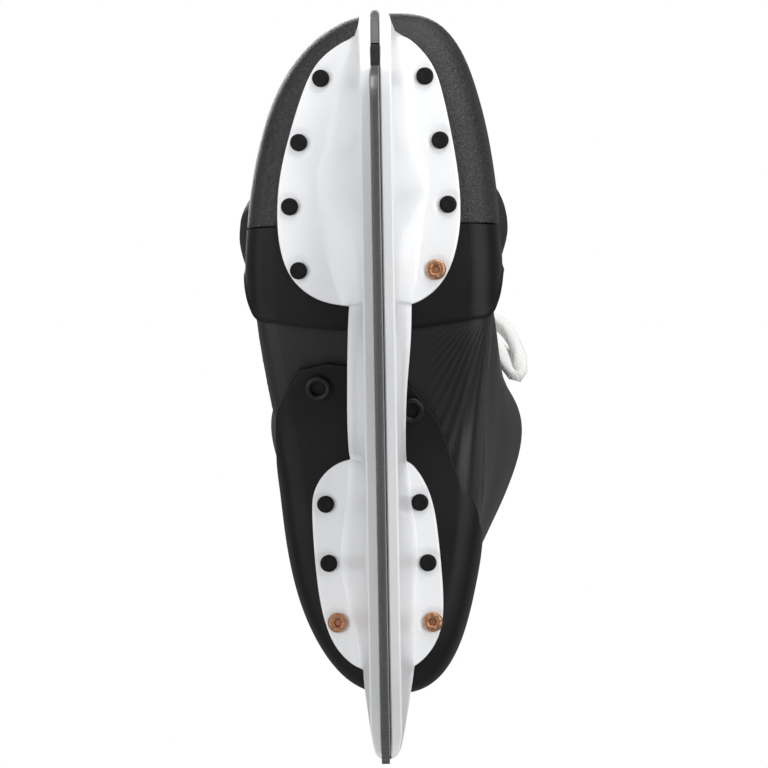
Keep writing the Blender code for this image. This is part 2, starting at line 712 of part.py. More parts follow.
def make_rivets(black, copper):
    """Flat heads under the plates; the shank ends in the outsole."""
    groups = (("front", FRONT_RIVETS, FRONT_PLATE_TOP), ("rear", REAR_RIVETS, REAR_PLATE_TOP))
    for group, places, plate_top in groups:
        for number, (x, y) in enumerate(places, 1):
            name = f"rivet_{group}_{number}"
            copper_end = name in COPPER_RIVETS
            head = RIVET_HEAD + (0.6 if copper_end else 0.0)
            rise = RIVET_HEAD_RISE + (0.5 if copper_end else 0.0)
            under = plate_top - PLATE - GAP
            tip = plate_top + GAP + OVERLAY - 0.2
            profile = [(0.0, under - rise), (head - 0.3, under - rise), (head, under),
                       (RIVET_SHANK, under), (RIVET_SHANK, tip), (0.0, tip)]
            turned(name, profile, (x, y, 0.0), (0, 0, 1), copper if copper_end else black, 12)


def sole_holes(target, places, low, high, material, radius):
    for x, y in places:
        cut(target, post("hole", x, y, low, high, radius, material))


def make_vents(black, screen, outsole, shell, material):
    """Two ringed vent holes through the heel overlay and the shell, each with a screen."""
    for side, x, y in VENTS:
        z = sole_z(y)
        slope = (sole_z(y + 2.0) - sole_z(y - 2.0)) / 4.0
        axis = Vector((0.0, -slope, 1.0)).normalized()
        bm_place = Vector((x, y, z))
        hole = turned(f"vent_hole_{side}", [(0.0, -8.0), (VENT_HOLE + 0.4, -8.0),
                                           (VENT_HOLE + 0.4, 14.0), (0.0, 14.0)],
                      bm_place, axis, material, 18)
        cut(outsole, hole)
        hole_shell = turned(f"vent_hole_shell_{side}", [(0.0, -8.0), (VENT_HOLE + 0.4, -8.0),
                                                       (VENT_HOLE + 0.4, 14.0), (0.0, 14.0)],
                            bm_place, axis, material, 18)
        cut(shell, hole_shell)
        turned(f"vent_grommet_{side}",
               [(VENT_HOLE - 0.7, -2.2), (VENT_RING - 0.5, -2.5), (VENT_RING, -2.0),
                (VENT_HOLE + 0.1, -0.8), (VENT_HOLE + 0.1, 3.4), (VENT_HOLE - 0.7, 3.4)],
               bm_place, axis, black, 18)
        turned(f"vent_screen_{side}", [(0.0, 3.9), (VENT_HOLE - 0.1, 3.9), (VENT_HOLE - 0.1, 4.7),
                                      (0.0, 4.7)], bm_place, axis, screen, 16)


# ---------------------------------------------------------------- lacing

def eyelet_frame(index, side):
    """Place and outward normal of an eyelet on the shell's outer face."""
    level = EYELET_FIRST + (EYELET_LAST - EYELET_FIRST) * index / (EYELETS - 1)
    turn = turn_at_half(level, throat_half(level) + EYELET_FROM_EDGE) * side
    here = form(level, turn)
    step = 0.02
    along_turn = form(level, turn + step) - form(level, turn - step)
    along_rise = form(level + 1.0, turn) - form(level - 1.0, turn)
    normal = along_turn.cross(along_rise).normalized()
    if normal.y > 0:
        normal = -normal
    return here - normal * SHELL_DEPTH, normal


def make_eyelets(shell, material):
    for side, word in ((1, "medial"), (-1, "lateral")):
        for index in range(EYELETS):
            place, normal = eyelet_frame(index, side)
            hole = turned(f"eyelet_hole_{word}_{index + 1}",
                          [(0.0, -9.0), (EYELET_BARREL + 0.35, -9.0), (EYELET_BARREL + 0.35, 6.0),
                           (0.0, 6.0)], place, normal, material, 8)
            cut(shell, hole)
            turned(f"eyelet_{word}_{index + 1}",
                   [(EYELET_BORE, -2.4), (EYELET_BARREL, -2.4), (EYELET_BARREL, 0.8),
                    (EYELET_FLANGE, 0.8), (EYELET_BORE, 1.7)],
                   place, normal, material, 8)


def smooth_route(points, spacing):
    """Catmull-Rom curve through hand-picked points, evenly stepped."""
    vectors = [Vector(p) for p in points]
    fine = []
    for i in range(len(vectors) - 1):
        p0, p1 = vectors[max(0, i - 1)], vectors[i]
        p2, p3 = vectors[i + 1], vectors[min(len(vectors) - 1, i + 2)]
        for k in range(12):
            t = k / 12
            fine.append(0.5 * ((2 * p1) + (p2 - p0) * t + (2 * p0 - 5 * p1 + 4 * p2 - p3) * t * t
                               + (3 * p1 - p0 - 3 * p2 + p3) * t ** 3))
    fine.append(vectors[-1])
    out = [fine[0]]
    travelled = 0.0
    for a, b in zip(fine, fine[1:]):
        travelled += (b - a).length
        if travelled >= spacing:
            out.append(b)
            travelled = 0.0
    out[-1] = fine[-1]
    return out


def tube(name, points, radius, material):
    curve = bpy.data.curves.new(name, "CURVE")
    curve.dimensions = "3D"
    curve.bevel_depth = radius * MM
    curve.bevel_resolution = 1
    curve.render_resolution_u = 0
    curve.use_fill_caps = True
    spline = curve.splines.new("POLY")
    spline.points.add(len(points) - 1)
    for item, point in zip(spline.points, points):
        item.co = (point[0] * MM, point[1] * MM, point[2] * MM, 1)
    obj = bpy.data.objects.new(name, curve)
    curve.materials.append(material)
    bpy.context.scene.collection.objects.link(obj)
    return obj


def lace_point(level, half, side, depth):
    """A point over the throat, at a half width to one side and a depth under the boot's outside."""
    turn = turn_at_half(level, max(0.01, half)) * side
    here = form(level, turn)
    ahead = form(level, turn + 0.03) - form(level, turn - 0.03)
    upward = form(level + 1.0, turn) - form(level - 1.0, turn)
    normal = ahead.cross(upward).normalized()
    if normal.y > 0:
        normal = -normal
    return here - normal * depth


def make_laces(material):
    """Two lace halves that zigzag over the tongue, one passing over the other."""
    dips = (("lace_under", 1, ((0.0, 3.4), (0.5, 2.2), (0.8, -0.3), (1.0, -1.2))),
            ("lace_over", -1, ((0.0, -1.2), (0.5, -1.0), (0.8, -1.0), (1.0, -1.2))))
    pitch = (EYELET_LAST - EYELET_FIRST) / (EYELETS - 1)
    for name, side, dip in dips:
        route = []
        for index in range(EYELETS - 1):
            for across in (1.0, 0.8, 0.5, 0.0, -0.5, -0.8):
                level = EYELET_FIRST + pitch * (index + (1.0 - across) / 2)
                half = (throat_half(level) + EYELET_FROM_EDGE) * abs(across)
                facing = side if across >= 0 else -side
                route.append(lace_point(level, half, facing, linear(dip, abs(across))))
            side = -side
        half = throat_half(EYELET_LAST) + EYELET_FROM_EDGE
        route.append(lace_point(EYELET_LAST, half, side, -1.2))
        tube(name, route, LACE, material)


def make_bow(material):
    """Knot on the tongue with a loop to each side; the big-toe loop hangs over the quarter."""
    level = EYELET_LAST - 1.0
    knot = lace_point(level, 0.0, 1, -9.5)
    outline = [(8.0 * math.cos(a), 5.0 * math.sin(a)) for a in
               [2 * math.pi * i / 12 for i in range(12)]]
    bm = bmesh.new()
    prism(bm, outline, -4.5, 4.5)
    bmesh.ops.translate(bm, vec=knot, verts=bm.verts)
    add_object("lace_knot", bm, material)
    x, y, z = knot
    medial = ((x + 10.5, y - 2.5, z), (x + 26.0, y - 5.0, z + 1.0), (x + 42.0, y - 4.5, z + 1.0),
              (x + 52.5, y - 0.5, z - 1.0), (x + 59.5, y + 6.5, z - 5.0), (x + 62.5, y + 15.5, z - 10.0),
              (x + 61.5, y + 24.0, z - 12.0), (x + 56.0, y + 21.0, z - 10.0), (x + 46.0, y + 9.5, z - 4.0),
              (x + 30.5, y + 4.0, z), (x + 10.5, y + 2.5, z))
    lateral = ((x - 10.5, y - 2.5, z), (x - 24.0, y - 5.0, z), (x - 38.0, y - 4.5, z - 1.0),
               (x - 49.0, y - 0.5, z - 3.0), (x - 56.0, y + 7.0, z - 6.0), (x - 58.0, y + 15.0, z - 9.0),
               (x - 54.0, y + 18.0, z - 8.0), (x - 45.0, y + 9.5, z - 4.0), (x - 31.0, y + 4.0, z),
               (x - 10.5, y + 2.5, z))
    tube("bow_loop_medial", smooth_route(medial, 5.5), BOW, material)
    tube("bow_loop_lateral", smooth_route(lateral, 5.5), BOW, material)


def main():
    clear_scene()
    cap = make_material("grained_black_plastic", (0.045, 0.045, 0.047), 0.55)
    sole = make_material("satin_black_plastic", (0.025, 0.025, 0.027), 0.42)
    carbon = make_material("carbon_weave", (0.05, 0.05, 0.055), 0.35)
    white = make_material("white_nylon", (0.86, 0.87, 0.88), 0.3)
    steel = make_material("ground_steel", (0.42, 0.42, 0.43), 0.32, 1.0)
    copper = make_material("copper", (0.6, 0.3, 0.17), 0.35, 1.0)
    black_rivet = make_material("black_rivet", (0.02, 0.02, 0.022), 0.4, 0.6)
    felt = make_material("white_felt", (0.75, 0.75, 0.73), 0.95)
    lining = make_material("grey_lining", (0.16, 0.16, 0.17), 0.95)
    lace = make_material("white_lace", (0.85, 0.85, 0.84), 0.9)
    rubber = make_material("black_rubber", (0.03, 0.03, 0.03), 0.7)

    cap_obj = make_toe_cap(cap)
    forefoot = make_forefoot_outsole(sole)
    heel = make_heel_outsole(sole)
    shell = make_boot_shell(carbon)
    make_liner(lining)
    make_collar(lining)
    make_tendon_guard(sole)
    make_tongue(felt, felt)
    make_footbed(lining)
    make_holder(white)
    make_runner(steel)
    make_toe_lock(rubber, steel)
    make_rivets(black_rivet, copper)
    front_low, rear_low = SOLE_FRONT - 3.0, SOLE_FRONT + SOLE_LIFT - 3.0
    in_cap = [p for p in FRONT_RIVETS if p[1] < SEAM_Y]
    in_sole = [p for p in FRONT_RIVETS if p[1] > SEAM_Y]
    sole_holes(cap_obj, in_cap, front_low, front_low + 6.0, cap, RIVET_SHANK + GAP)
    sole_holes(forefoot, in_sole, front_low, front_low + 6.0, sole, RIVET_SHANK + GAP)
    sole_holes(heel, REAR_RIVETS, rear_low, rear_low + 6.0, sole, RIVET_SHANK + GAP)
    make_vents(rubber, black_rivet, heel, shell, sole)
    make_eyelets(shell, copper)
    make_laces(lace)
    make_bow(lace)


main()
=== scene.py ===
"""Looks of the hockey skate: fine surfaces, soft goods, materials, light and camera.

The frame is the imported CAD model, in metres: +Z up, toe to -Y, big-toe side +X, runner bottom at 0.
Boot surfaces are worked out in millimetres from the same rings as the CAD boot; MM turns them into
metres when a mesh is made.
"""
import json
import math

import bmesh
import bpy
from mathutils import Matrix, Vector


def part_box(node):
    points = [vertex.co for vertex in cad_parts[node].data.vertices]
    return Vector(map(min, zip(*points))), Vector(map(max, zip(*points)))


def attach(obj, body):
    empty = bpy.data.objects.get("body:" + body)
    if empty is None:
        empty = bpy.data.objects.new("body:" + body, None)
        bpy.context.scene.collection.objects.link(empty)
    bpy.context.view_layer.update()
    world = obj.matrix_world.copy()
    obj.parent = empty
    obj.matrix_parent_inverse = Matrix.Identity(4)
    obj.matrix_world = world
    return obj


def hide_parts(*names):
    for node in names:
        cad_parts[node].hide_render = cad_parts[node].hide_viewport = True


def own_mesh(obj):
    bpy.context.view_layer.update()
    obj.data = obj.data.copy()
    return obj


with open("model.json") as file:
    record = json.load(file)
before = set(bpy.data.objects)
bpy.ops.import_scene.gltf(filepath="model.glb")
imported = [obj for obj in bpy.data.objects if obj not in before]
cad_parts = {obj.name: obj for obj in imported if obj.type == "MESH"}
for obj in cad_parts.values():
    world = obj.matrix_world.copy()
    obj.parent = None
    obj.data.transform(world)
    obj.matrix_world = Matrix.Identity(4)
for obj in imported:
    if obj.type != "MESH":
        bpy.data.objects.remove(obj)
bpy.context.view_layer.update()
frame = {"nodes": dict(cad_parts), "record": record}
NODES = frame["nodes"]
MM = 0.001

# heights of the sole above the ice
SOLE_FRONT = 54.8
SOLE_LIFT = 12.0
LIFT_START, LIFT_END = -30.0, 23.0
LIFT_FADE_LOW, LIFT_FADE_HIGH = 18.0, 56.0

# skins of the boot, each measured inward from the outside of the boot
OVERLAY = 2.5
SHELL_DEPTH = 3.3
SHELL = 2.6
LINER_DEPTH = 8.4
LINER = 4.0
TONGUE_DEPTH = 6.8
TONGUE = 6.5
SEAM_Y = -64.4
SEAM_GAP = 0.3

# rings of the boot: rise, toe end, heel end, forefoot half width, heel half width, roundness at the
# toe and at the heel, sideways shift at the ankle
RINGS = (
    (0.0, -141.0, 117.0, 42.4, 34.4, 2.6, 2.55, 0.0),
    (2.2, -146.4, 122.5, 47.7, 39.4, 2.62, 2.55, 0.0),
    (7.0, -150.8, 127.0, 51.5, 42.9, 2.65, 2.55, 0.0),
    (15.0, -152.5, 129.5, 53.5, 45.0, 2.67, 2.55, 0.0),
    (27.0, -152.5, 130.5, 54.0, 45.7, 2.67, 2.55, 0.3),
    (38.0, -149.2, 130.5, 52.0, 45.8, 2.65, 2.5, 0.8),
    (46.0, -141.0, 130.0, 48.8, 45.8, 2.65, 2.45, 1.4),
    (52.0, -126.0, 129.5, 47.6, 45.6, 2.7, 2.4, 2.0),
    (60.0, -105.0, 128.5, 49.4, 45.2, 2.8, 2.35, 2.8),
    (74.0, -86.0, 126.0, 52.4, 44.6, 3.0, 2.3, 4.0),
    (92.0, -62.0, 121.5, 54.0, 43.6, 2.9, 2.3, 5.0),
    (110.0, -42.0, 117.0, 57.0, 44.4, 2.8, 2.3, 5.2),
    (130.0, -26.0, 114.5, 62.0, 45.2, 2.9, 2.3, 5.0),
    (148.0, -17.0, 115.0, 66.5, 46.0, 3.0, 2.3, 4.8),
    (160.0, -14.0, 117.0, 67.5, 46.2, 3.0, 2.3, 4.6),
    (176.0, -16.0, 121.0, 66.5, 45.8, 2.9, 2.3, 4.4),
    (206.0, -25.0, 128.0, 64.5, 44.5, 2.8, 2.3, 4.2),
)
# sideways place of the boot's middle line against y
CENTRE = ((-157.0, 7.0), (-140.0, 2.0), (-115.0, -1.5), (-60.0, -3.3), (0.0, -3.0), (20.0, -2.2),
          (45.0, -1.0), (75.0, -1.0), (95.0, -0.5), (132.0, 2.2))
FLOOR_INSET = 16.0
FLARE_MEDIAL, FLARE_LATERAL = 7.0, 8.2
RIB_HEIGHT, RIB_PITCH = 0.16, 7.0
TURN_WEIGHT = 70.0
RIM_ANGLE = 50.0
FOOTBED_LEVEL = 7.0
FOOTBED_TOE, FOOTBED_HEEL = -70.0, 110.0
FOOTBED_GAP = 1.4
FOOTBED_THICK = 4.0
FOOTBED_DISH = 0.8

# blade holder; widths and heights against y, nose to tail
RAIL_Z = 20.0
RAIL_HALF = 6.2
SLOT_HALF = 1.8
SLOT_TOP = 34.2
PLATE = 3.0
FRONT_PLATE_TOP = SOLE_FRONT - 0.3
REAR_PLATE_TOP = SOLE_FRONT + SOLE_LIFT - 0.3
FRONT_PLATE = ((-9.4, -140.5), (-17.6, -136.0), (-23.1, -131.4), (-27.4, -125.5), (-32.6, -112.3),
               (-38.8, -91.5), (-41.4, -75.8), (-41.3, -58.1), (-37.6, -44.8), (-30.0, -36.6),
               (-20.1, -32.2), (0.0, -30.4), (13.2, -31.6), (22.5, -37.4), (28.8, -46.8),
               (32.5, -61.4), (32.8, -76.9), (30.8, -93.9), (26.2, -118.2), (22.5, -129.1),
               (14.9, -138.1), (8.8, -141.3))
REAR_PLATE = ((-14.2, 29.8), (-24.1, 34.9), (-29.4, 43.5), (-30.1, 52.0), (-29.1, 73.6), (-27.0, 91.6),
              (-22.9, 105.3), (-15.5, 114.5), (-7.0, 118.0), (6.0, 118.0), (14.5, 113.8),
              (21.3, 104.5), (23.7, 92.0), (22.0, 65.8), (19.9, 48.6), (15.0, 37.1), (8.5, 30.2))
KEEL_LEFT = ((-148.8, 0.8), (-148.5, 2.2), (-147.8, 3.4), (-146.4, 4.8), (-143.4, 6.8),
             (-137.0, 10.2), (-131.0, 11.4), (-128.7, 10.6), (-115.0, 11.6), (-30.0, 12.9),
             (30.0, 13.8), (95.0, 12.0), (112.6, 10.9), (118.4, 9.8), (142.4, 5.3), (145.0, 4.0),
             (146.2, 2.4))
KEEL_RIGHT = ((-148.8, 0.8), (-148.5, 2.4), (-147.8, 3.8), (-146.4, 5.0), (-143.4, 6.6),
              (-137.0, 9.0), (-130.0, 10.4), (-115.0, 10.8), (-60.0, 12.0), (-22.0, 12.1),
              (5.0, 9.9), (27.0, 9.1), (50.0, 9.4), (80.0, 10.6), (112.6, 11.2), (120.0, 10.2),
              (142.4, 5.7), (145.0, 4.2), (146.2, 2.4))
KEEL_TOPS = ((-148.8, 36.0), (-147.6, 38.5), (-142.0, 46.0), (-140.0, 51.0), (-31.0, 54.0),
             (-28.0, 49.0), (-22.0, 43.0), (-14.0, 39.6), (-4.0, 38.5), (10.0, 38.6), (18.0, 41.0),
             (24.0, 47.0), (28.0, 54.0), (31.0, 66.0), (117.5, 66.0), (119.5, 58.0), (124.0, 50.0),
             (136.0, 37.5), (146.2, 30.5))
TOWER_LEFT = ((-146.0, 6.2), (-138.0, 10.0), (-128.0, 14.6), (-113.0, 18.3), (-97.0, 21.6),
              (-84.0, 24.9), (-76.0, 25.2), (-61.0, 23.7), (-46.0, 19.9), (-34.0, 16.5),
              (-22.0, 12.8), (20.0, 13.4), (31.0, 14.6), (48.0, 15.8), (61.0, 17.8), (74.0, 18.8),
              (83.0, 17.4), (96.0, 14.8), (104.0, 12.8), (116.0, 11.0))
TOWER_RIGHT = ((-146.0, 6.5), (-138.0, 9.8), (-128.0, 11.8), (-113.0, 13.2), (-97.0, 15.8),
               (-88.0, 19.0), (-80.0, 20.2), (-64.0, 17.5), (-44.0, 14.7), (-30.0, 12.6),
               (-18.0, 11.5), (20.0, 9.4), (35.0, 9.6), (50.0, 11.4), (64.0, 12.9), (80.0, 12.2),
               (96.0, 11.6), (116.0, 11.0))
CREST_PART = ((-146.0, 0.5), (-100.0, 0.5), (-86.0, 0.92), (-78.0, 0.82), (-70.0, 0.6), (-62.0, 0.33),
              (-54.0, 0.2), (-30.0, 0.25), (-10.0, 0.45), (20.0, 0.45), (45.0, 0.5), (146.0, 0.5))
CREST_RISE = ((-146.0, 0.55), (-100.0, 0.6), (-86.0, 0.95), (-78.0, 0.93), (-70.0, 0.88), (-62.0, 0.8),
              (-54.0, 0.7), (-30.0, 0.5), (-10.0, 0.45), (20.0, 0.45), (45.0, 0.55), (146.0, 0.55))
NOSE_SLOT = -146.4
LOCK_POCKET = (-134.4, -121.8)
LOCK_POCKET_TOP = 44.0
HOLDER_STATIONS = (-148.8, 4, -147.2, 3, -146.5, 10, -144.5, 8, -136.0, 84, -40.0, 24, -28.0, 34, 24.0,
                   24, 36.0, 60, 104.0, 26, 120.0, 20, 146.2)

# rivets, vents and lacing, where the CAD has them
COPPER_RIVETS = ("rivet_front_8", "rivet_rear_3", "rivet_rear_6")
FAN_CENTRE = (0.045, -0.036)
FAN_RIBS = 78.0
TWILL_PITCH = 0.0016
EYELETS = 10
EYELET_FIRST, EYELET_LAST = 66.0, 145.0
EYELET_FROM_EDGE = 7.5
VENTS = (("lateral", -26.6, 1.0), ("medial", 11.6, 10.6))
VENT_HOLE = 3.9
WIRE = 0.2
WIRE_PITCH = 1.05

# laces: a flat braid, opened out over the tongue and bunched up in the bow
LACE_WIDTH = 7.0
LACE_THICK = 1.3
BRAID_PITCH = 0.0011
BOW_THICK = 6.2
KNOT_DEPTH = -9.5
BOW_MEDIAL = ((8.0, -2.5, 0.0), (26.0, -5.0, 1.0), (42.0, -4.5, 1.0), (51.0, -0.5, -1.0),
              (56.5, 6.5, -5.0), (59.5, 15.5, -10.0), (59.0, 24.5, -12.0), (55.0, 20.0, -9.5),
              (48.0, 10.0, -4.0), (30.5, 4.0, 0.0), (8.0, 2.5, 0.0))
BOW_LATERAL = ((-8.0, -2.5, 0.0), (-24.0, -5.0, 0.0), (-38.0, -4.5, -1.0), (-49.0, -0.5, -3.0),
               (-56.0, 7.0, -6.0), (-58.0, 15.0, -9.0), (-54.0, 18.0, -8.0), (-45.0, 9.5, -4.0),
               (-31.0, 4.0, 0.0), (-8.0, 2.5, 0.0))

# copper stitching along the eyestay
STAY_WIDTH = 25.0
STITCH_PITCH = 2.4

# steel runner, side outline against (y, z)
STEEL_HALF = 1.5
HOLLOW = 0.1
RUNNER_SOLE = ((-122.8, 15.0), (-121.4, 10.6), (-117.4, 5.8), (-111.6, 2.4), (-104.0, 0.9), (-92.0, 0.55),
               (-70.0, 0.25), (-30.0, 0.0), (30.0, 0.0), (70.0, 0.35), (105.0, 1.3), (128.0, 2.8),
               (138.0, 4.6), (143.6, 7.4), (145.4, 9.8), (144.8, 14.0), (141.5, 22.0))
RUNNER_BACK = ((139.0, 33.6), (-121.0, 33.6), (-122.8, 31.6))

# soft studio light: name, place, aim, size, watts
LIGHTS = (("below_right", (0.9, -0.15, -1.05), (0.0, 0.0, 0.05), 0.8, 11.5),
          ("below_left", (-0.9, -0.1, -1.05), (0.0, 0.0, 0.05), 0.8, 8.5),
          ("below_toe", (0.4, -1.25, -0.35), (0.0, -0.1, 0.06), 0.5, 8.0),
          ("below_heel", (0.1, 1.4, -0.7), (0.0, 0.0, 0.05), 0.8, 3.5),
          ("above", (-0.3, -0.7, 1.5), (0.0, 0.0, 0.12), 1.2, 16.0))
WORLD_FILL = 0.22

# camera: below the ice, a little towards the big-toe side
CAMERA_PLACE = (0.020, 0.0, -0.767)
CAMERA_AIM = (0.0019, 0.0, 0.0)
CAMERA_UP = (0.0166, -1.0, 0.0)
CAMERA_LENS = 95.2


def smoothstep(low, high, value):
    t = min(1.0, max(0.0, (value - low) / (high - low)))
    return t * t * (3.0 - 2.0 * t)


def linear(table, value):
    if value <= table[0][0]:
        return table[0][1]
    for (low, a), (high, b) in zip(table, table[1:]):
        if value <= high:
            return a + (b - a) * (value - low) / (high - low)
    return table[-1][1]


def hermite(t, a, slope_a, b, slope_b):
    """Cubic from a to b with given slopes, for t from 0 to 1."""
    return ((2 * t ** 3 - 3 * t ** 2 + 1) * a + (t ** 3 - 2 * t ** 2 + t) * slope_a
            + (3 * t ** 2 - 2 * t ** 3) * b + (t ** 3 - t ** 2) * slope_b)


def flowing(table, value):
    """Like linear(), but rounded at the knots."""
    if value <= table[0][0]:
        return table[0][1]
    if value >= table[-1][0]:
        return table[-1][1]
    index = max(i for i in range(len(table) - 1) if table[i][0] <= value)
    before, a, b = table[max(0, index - 1)], table[index], table[index + 1]
    after = table[min(len(table) - 1, index + 2)]
    span = b[0] - a[0]
    t = (value - a[0]) / span
    slope_a = (b[1] - before[1]) / (b[0] - before[0]) * span
    slope_b = (after[1] - a[1]) / (after[0] - a[0]) * span
    return hermite(t, a[1], slope_a, b[1], slope_b)


def steps(*stops):
    """Numbers from stop to stop: steps(a, n, b, m, c) is n steps from a to b, then m steps to c."""
    out = [stops[0]]
    for index in range(1, len(stops), 2):
        count, end = stops[index], stops[index + 1]
        start = out[-1]
        out += [start + (end - start) * (i + 1) / count for i in range(count)]
    return out


# ---------------------------------------------------------------- outside form of the boot

RING_CACHE = {}


def ring_at(level):
    """Ring dimensions at any level, from a Catmull-Rom curve through RINGS."""
    if level in RING_CACHE:
        return RING_CACHE[level]
    rise = min(RINGS[-1][0], max(0.0, level))
    index = 0
    while index < len(RINGS) - 2 and rise > RINGS[index + 1][0]:
        index += 1
    before = RINGS[max(0, index - 1)]
    a, b = RINGS[index], RINGS[index + 1]
    after = RINGS[min(len(RINGS) - 1, index + 2)]
    span = b[0] - a[0]
    t = (rise - a[0]) / span
    out = []
    for k in range(1, len(a)):
        slope_a = (b[k] - before[k]) / max(1.0, b[0] - before[0]) * span
        slope_b = (after[k] - a[k]) / max(1.0, after[0] - a[0]) * span
        out.append(hermite(t, a[k], slope_a, b[k], slope_b))
    inset = -FLOOR_INSET * min(0.0, level)
    out[0] += inset
    out[1] -= inset
    RING_CACHE[level] = out
    return out


def sole_z(y):
    return SOLE_FRONT + SOLE_LIFT * smoothstep(LIFT_START, LIFT_END, y)


def form(level, turn):
    """Point of the boot's outside: level is the rise over the sole (below 0 the floor, -1 its middle),
    turn is 0 at the toe, pi/2 on the big-toe side and pi at the heel."""
    toe, heel, fore_half, heel_half, toe_power, heel_power, shift = ring_at(level)
    cosine, sine = math.cos(turn), math.sin(turn)
    power = toe_power if cosine > 0 else heel_power
    rise = max(0.0, level)
    y = (toe + heel) / 2 - (heel - toe) / 2 * math.copysign(abs(cosine) ** (2 / power), cosine)
    upper = smoothstep(40.0, 120.0, rise)
    taper = smoothstep(-55.0 + 60.0 * upper, 45.0 + 50.0 * upper, y)
    half = fore_half + (heel_half - fore_half) * taper
    side = half * math.copysign(abs(sine) ** (2 / power), sine)
    spread = 1.0 + min(0.0, level)
    x = flowing(CENTRE, y) + shift * (1.0 - 0.6 * smoothstep(20.0, 90.0, y)) + side * spread
    fade = 1.0 - smoothstep(LIFT_FADE_LOW, LIFT_FADE_HIGH, rise)
    z = SOLE_FRONT + rise + (sole_z(y) - SOLE_FRONT) * fade
    return Vector((x, y, z))


def turn_at_y(level, y):
    toe, heel, _, _, toe_power, heel_power, _ = ring_at(level)
    u = (y - (toe + heel) / 2) / ((heel - toe) / 2)
    u = min(0.9999, max(-0.9999, u))
    power = toe_power if u < 0 else heel_power
    return math.acos(-math.copysign(abs(u) ** (power / 2), u))


def turn_at_half(level, half):
    _, _, fore_half, _, power, _, _ = ring_at(level)
    return math.asin(min(1.0, (half / fore_half) ** (power / 2)))


def turn_from_heel(level, half):
    _, _, _, heel_half, _, power, _ = ring_at(level)
    return math.pi - math.asin(min(1.0, (half / heel_half) ** (power / 2)))


def throat_half(level):
    return linear(((50.0, 15.0), (60.0, 19.0), (90.0, 23.0), (150.0, 28.0)), level)


def even_turns(level, start, stop, columns):
    """Turns from start to stop, spaced evenly by length along the ring and by angle together."""
    fine = 2 * columns
    travelled = [0.0]
    last = form(level, start)
    for i in range(1, fine + 1):
        here = form(level, start + (stop - start) * i / fine)
        travelled.append(travelled[-1] + (here - last).length + TURN_WEIGHT * (stop - start) / fine)
        last = here
    turns = [start]
    index = 0
    for j in range(1, columns):
        target = travelled[-1] * j / columns
        while travelled[index + 1] < target:
            index += 1
        part = (target - travelled[index]) / (travelled[index + 1] - travelled[index])
        turns.append(start + (stop - start) * (index + part) / fine)
    return turns + [stop]


def new_piece(name, bm, sharp_from=None):
    """Turn a bmesh in metres into a smooth object, with edges sharp from an angle in degrees."""
    mesh = bpy.data.meshes.new(name)
    bm.to_mesh(mesh)
    bm.free()
    mesh.shade_smooth()
    if sharp_from:
        mesh.set_sharp_from_angle(angle=math.radians(sharp_from))
    obj = bpy.data.objects.new(name, mesh)
    bpy.context.scene.collection.objects.link(obj)
    return obj


def join_rows(bm, rows):
    """Faces between closed rows of vertices, and one face over each end."""
    count = len(rows[0])
    for a, b in zip(rows, rows[1:]):
        for i in range(count):
            j = (i + 1) % count
            bm.faces.new((a[i], b[i], b[j], a[j]))
    bm.faces.new(rows[0])
    bm.faces.new(rows[-1][::-1])


def thicken(obj, thickness, even_normals=True):
    """Give a surface a thickness inward, in millimetres."""
    solid = obj.modifiers.new("thickness", "SOLIDIFY")
    solid.thickness = thickness * MM
    solid.offset = -1.0
    solid.use_even_offset = True
    solid.use_quality_normals = even_normals
    return obj


def edge_bevel(obj, width, segments=2, angle=40.0):
    """Round the edges sharper than angle, by width in millimetres."""
    bevel = obj.modifiers.new("edges", "BEVEL")
    bevel.width = width * MM
    bevel.segments = segments
    bevel.limit_method = "ANGLE"
    bevel.angle_limit = math.radians(angle)
    return obj


def skin(name, levels, edge, columns, depth, thickness, around_heel=True, relief=None, round_rim=0.5):
    """A closed shell of one thickness on a stretch of the boot's outside, with a relief on its face.

    Its UV map runs in metres: along the ring and up the rise."""
    bm = bmesh.new()
    rows = []
    places = {}
    for level in levels:
        start, stop = edge(level, 1), edge(level, -1)
        if around_heel:
            turns = even_turns(level, start, 2 * math.pi - stop, columns)
        else:
            turns = even_turns(level, -stop, start, columns)
        row = []
        for turn in turns:
            vert = bm.verts.new(form(level, turn))
            row.append(vert)
            places[vert] = (level, turn)
        rows.append(row)
    uv_layer = bm.loops.layers.uv.new("weave")
    for lower, upper in zip(rows, rows[1:]):
        for j in range(columns):
            corners = (lower[j], lower[j + 1], upper[j + 1], upper[j])
            face = bm.faces.new(corners)
            for loop, vert in zip(face.loops, corners):
                level, turn = places[vert]
                up = level if level > 0 else 45.0 * level
                loop[uv_layer].uv = (vert.co.y * MM, up * MM)
    bm.normal_update()
    probe = max(bm.verts, key=lambda v: v.co.x)
    if probe.normal.x < 0:
        bmesh.ops.reverse_faces(bm, faces=bm.faces)
        bm.normal_update()
    moves = []
    for vert, (level, turn) in places.items():
        push = -depth * vert.calc_shell_factor()
        if relief:
            push += relief(level, turn, vert.co)
        moves.append((vert, vert.co + vert.normal * push))
    for vert, place in moves:
        vert.co = place
    if levels[0] <= -1.0:
        bmesh.ops.remove_doubles(bm, verts=rows[0], dist=0.4)
    bmesh.ops.dissolve_degenerate(bm, edges=bm.edges, dist=0.0005)
    bmesh.ops.scale(bm, vec=(MM, MM, MM), verts=bm.verts)
    obj = thicken(new_piece(name, bm), thickness)
    if round_rim:
        edge_bevel(obj, round_rim, 3, RIM_ANGLE)
    return obj


# ---------------------------------------------------------------- materials

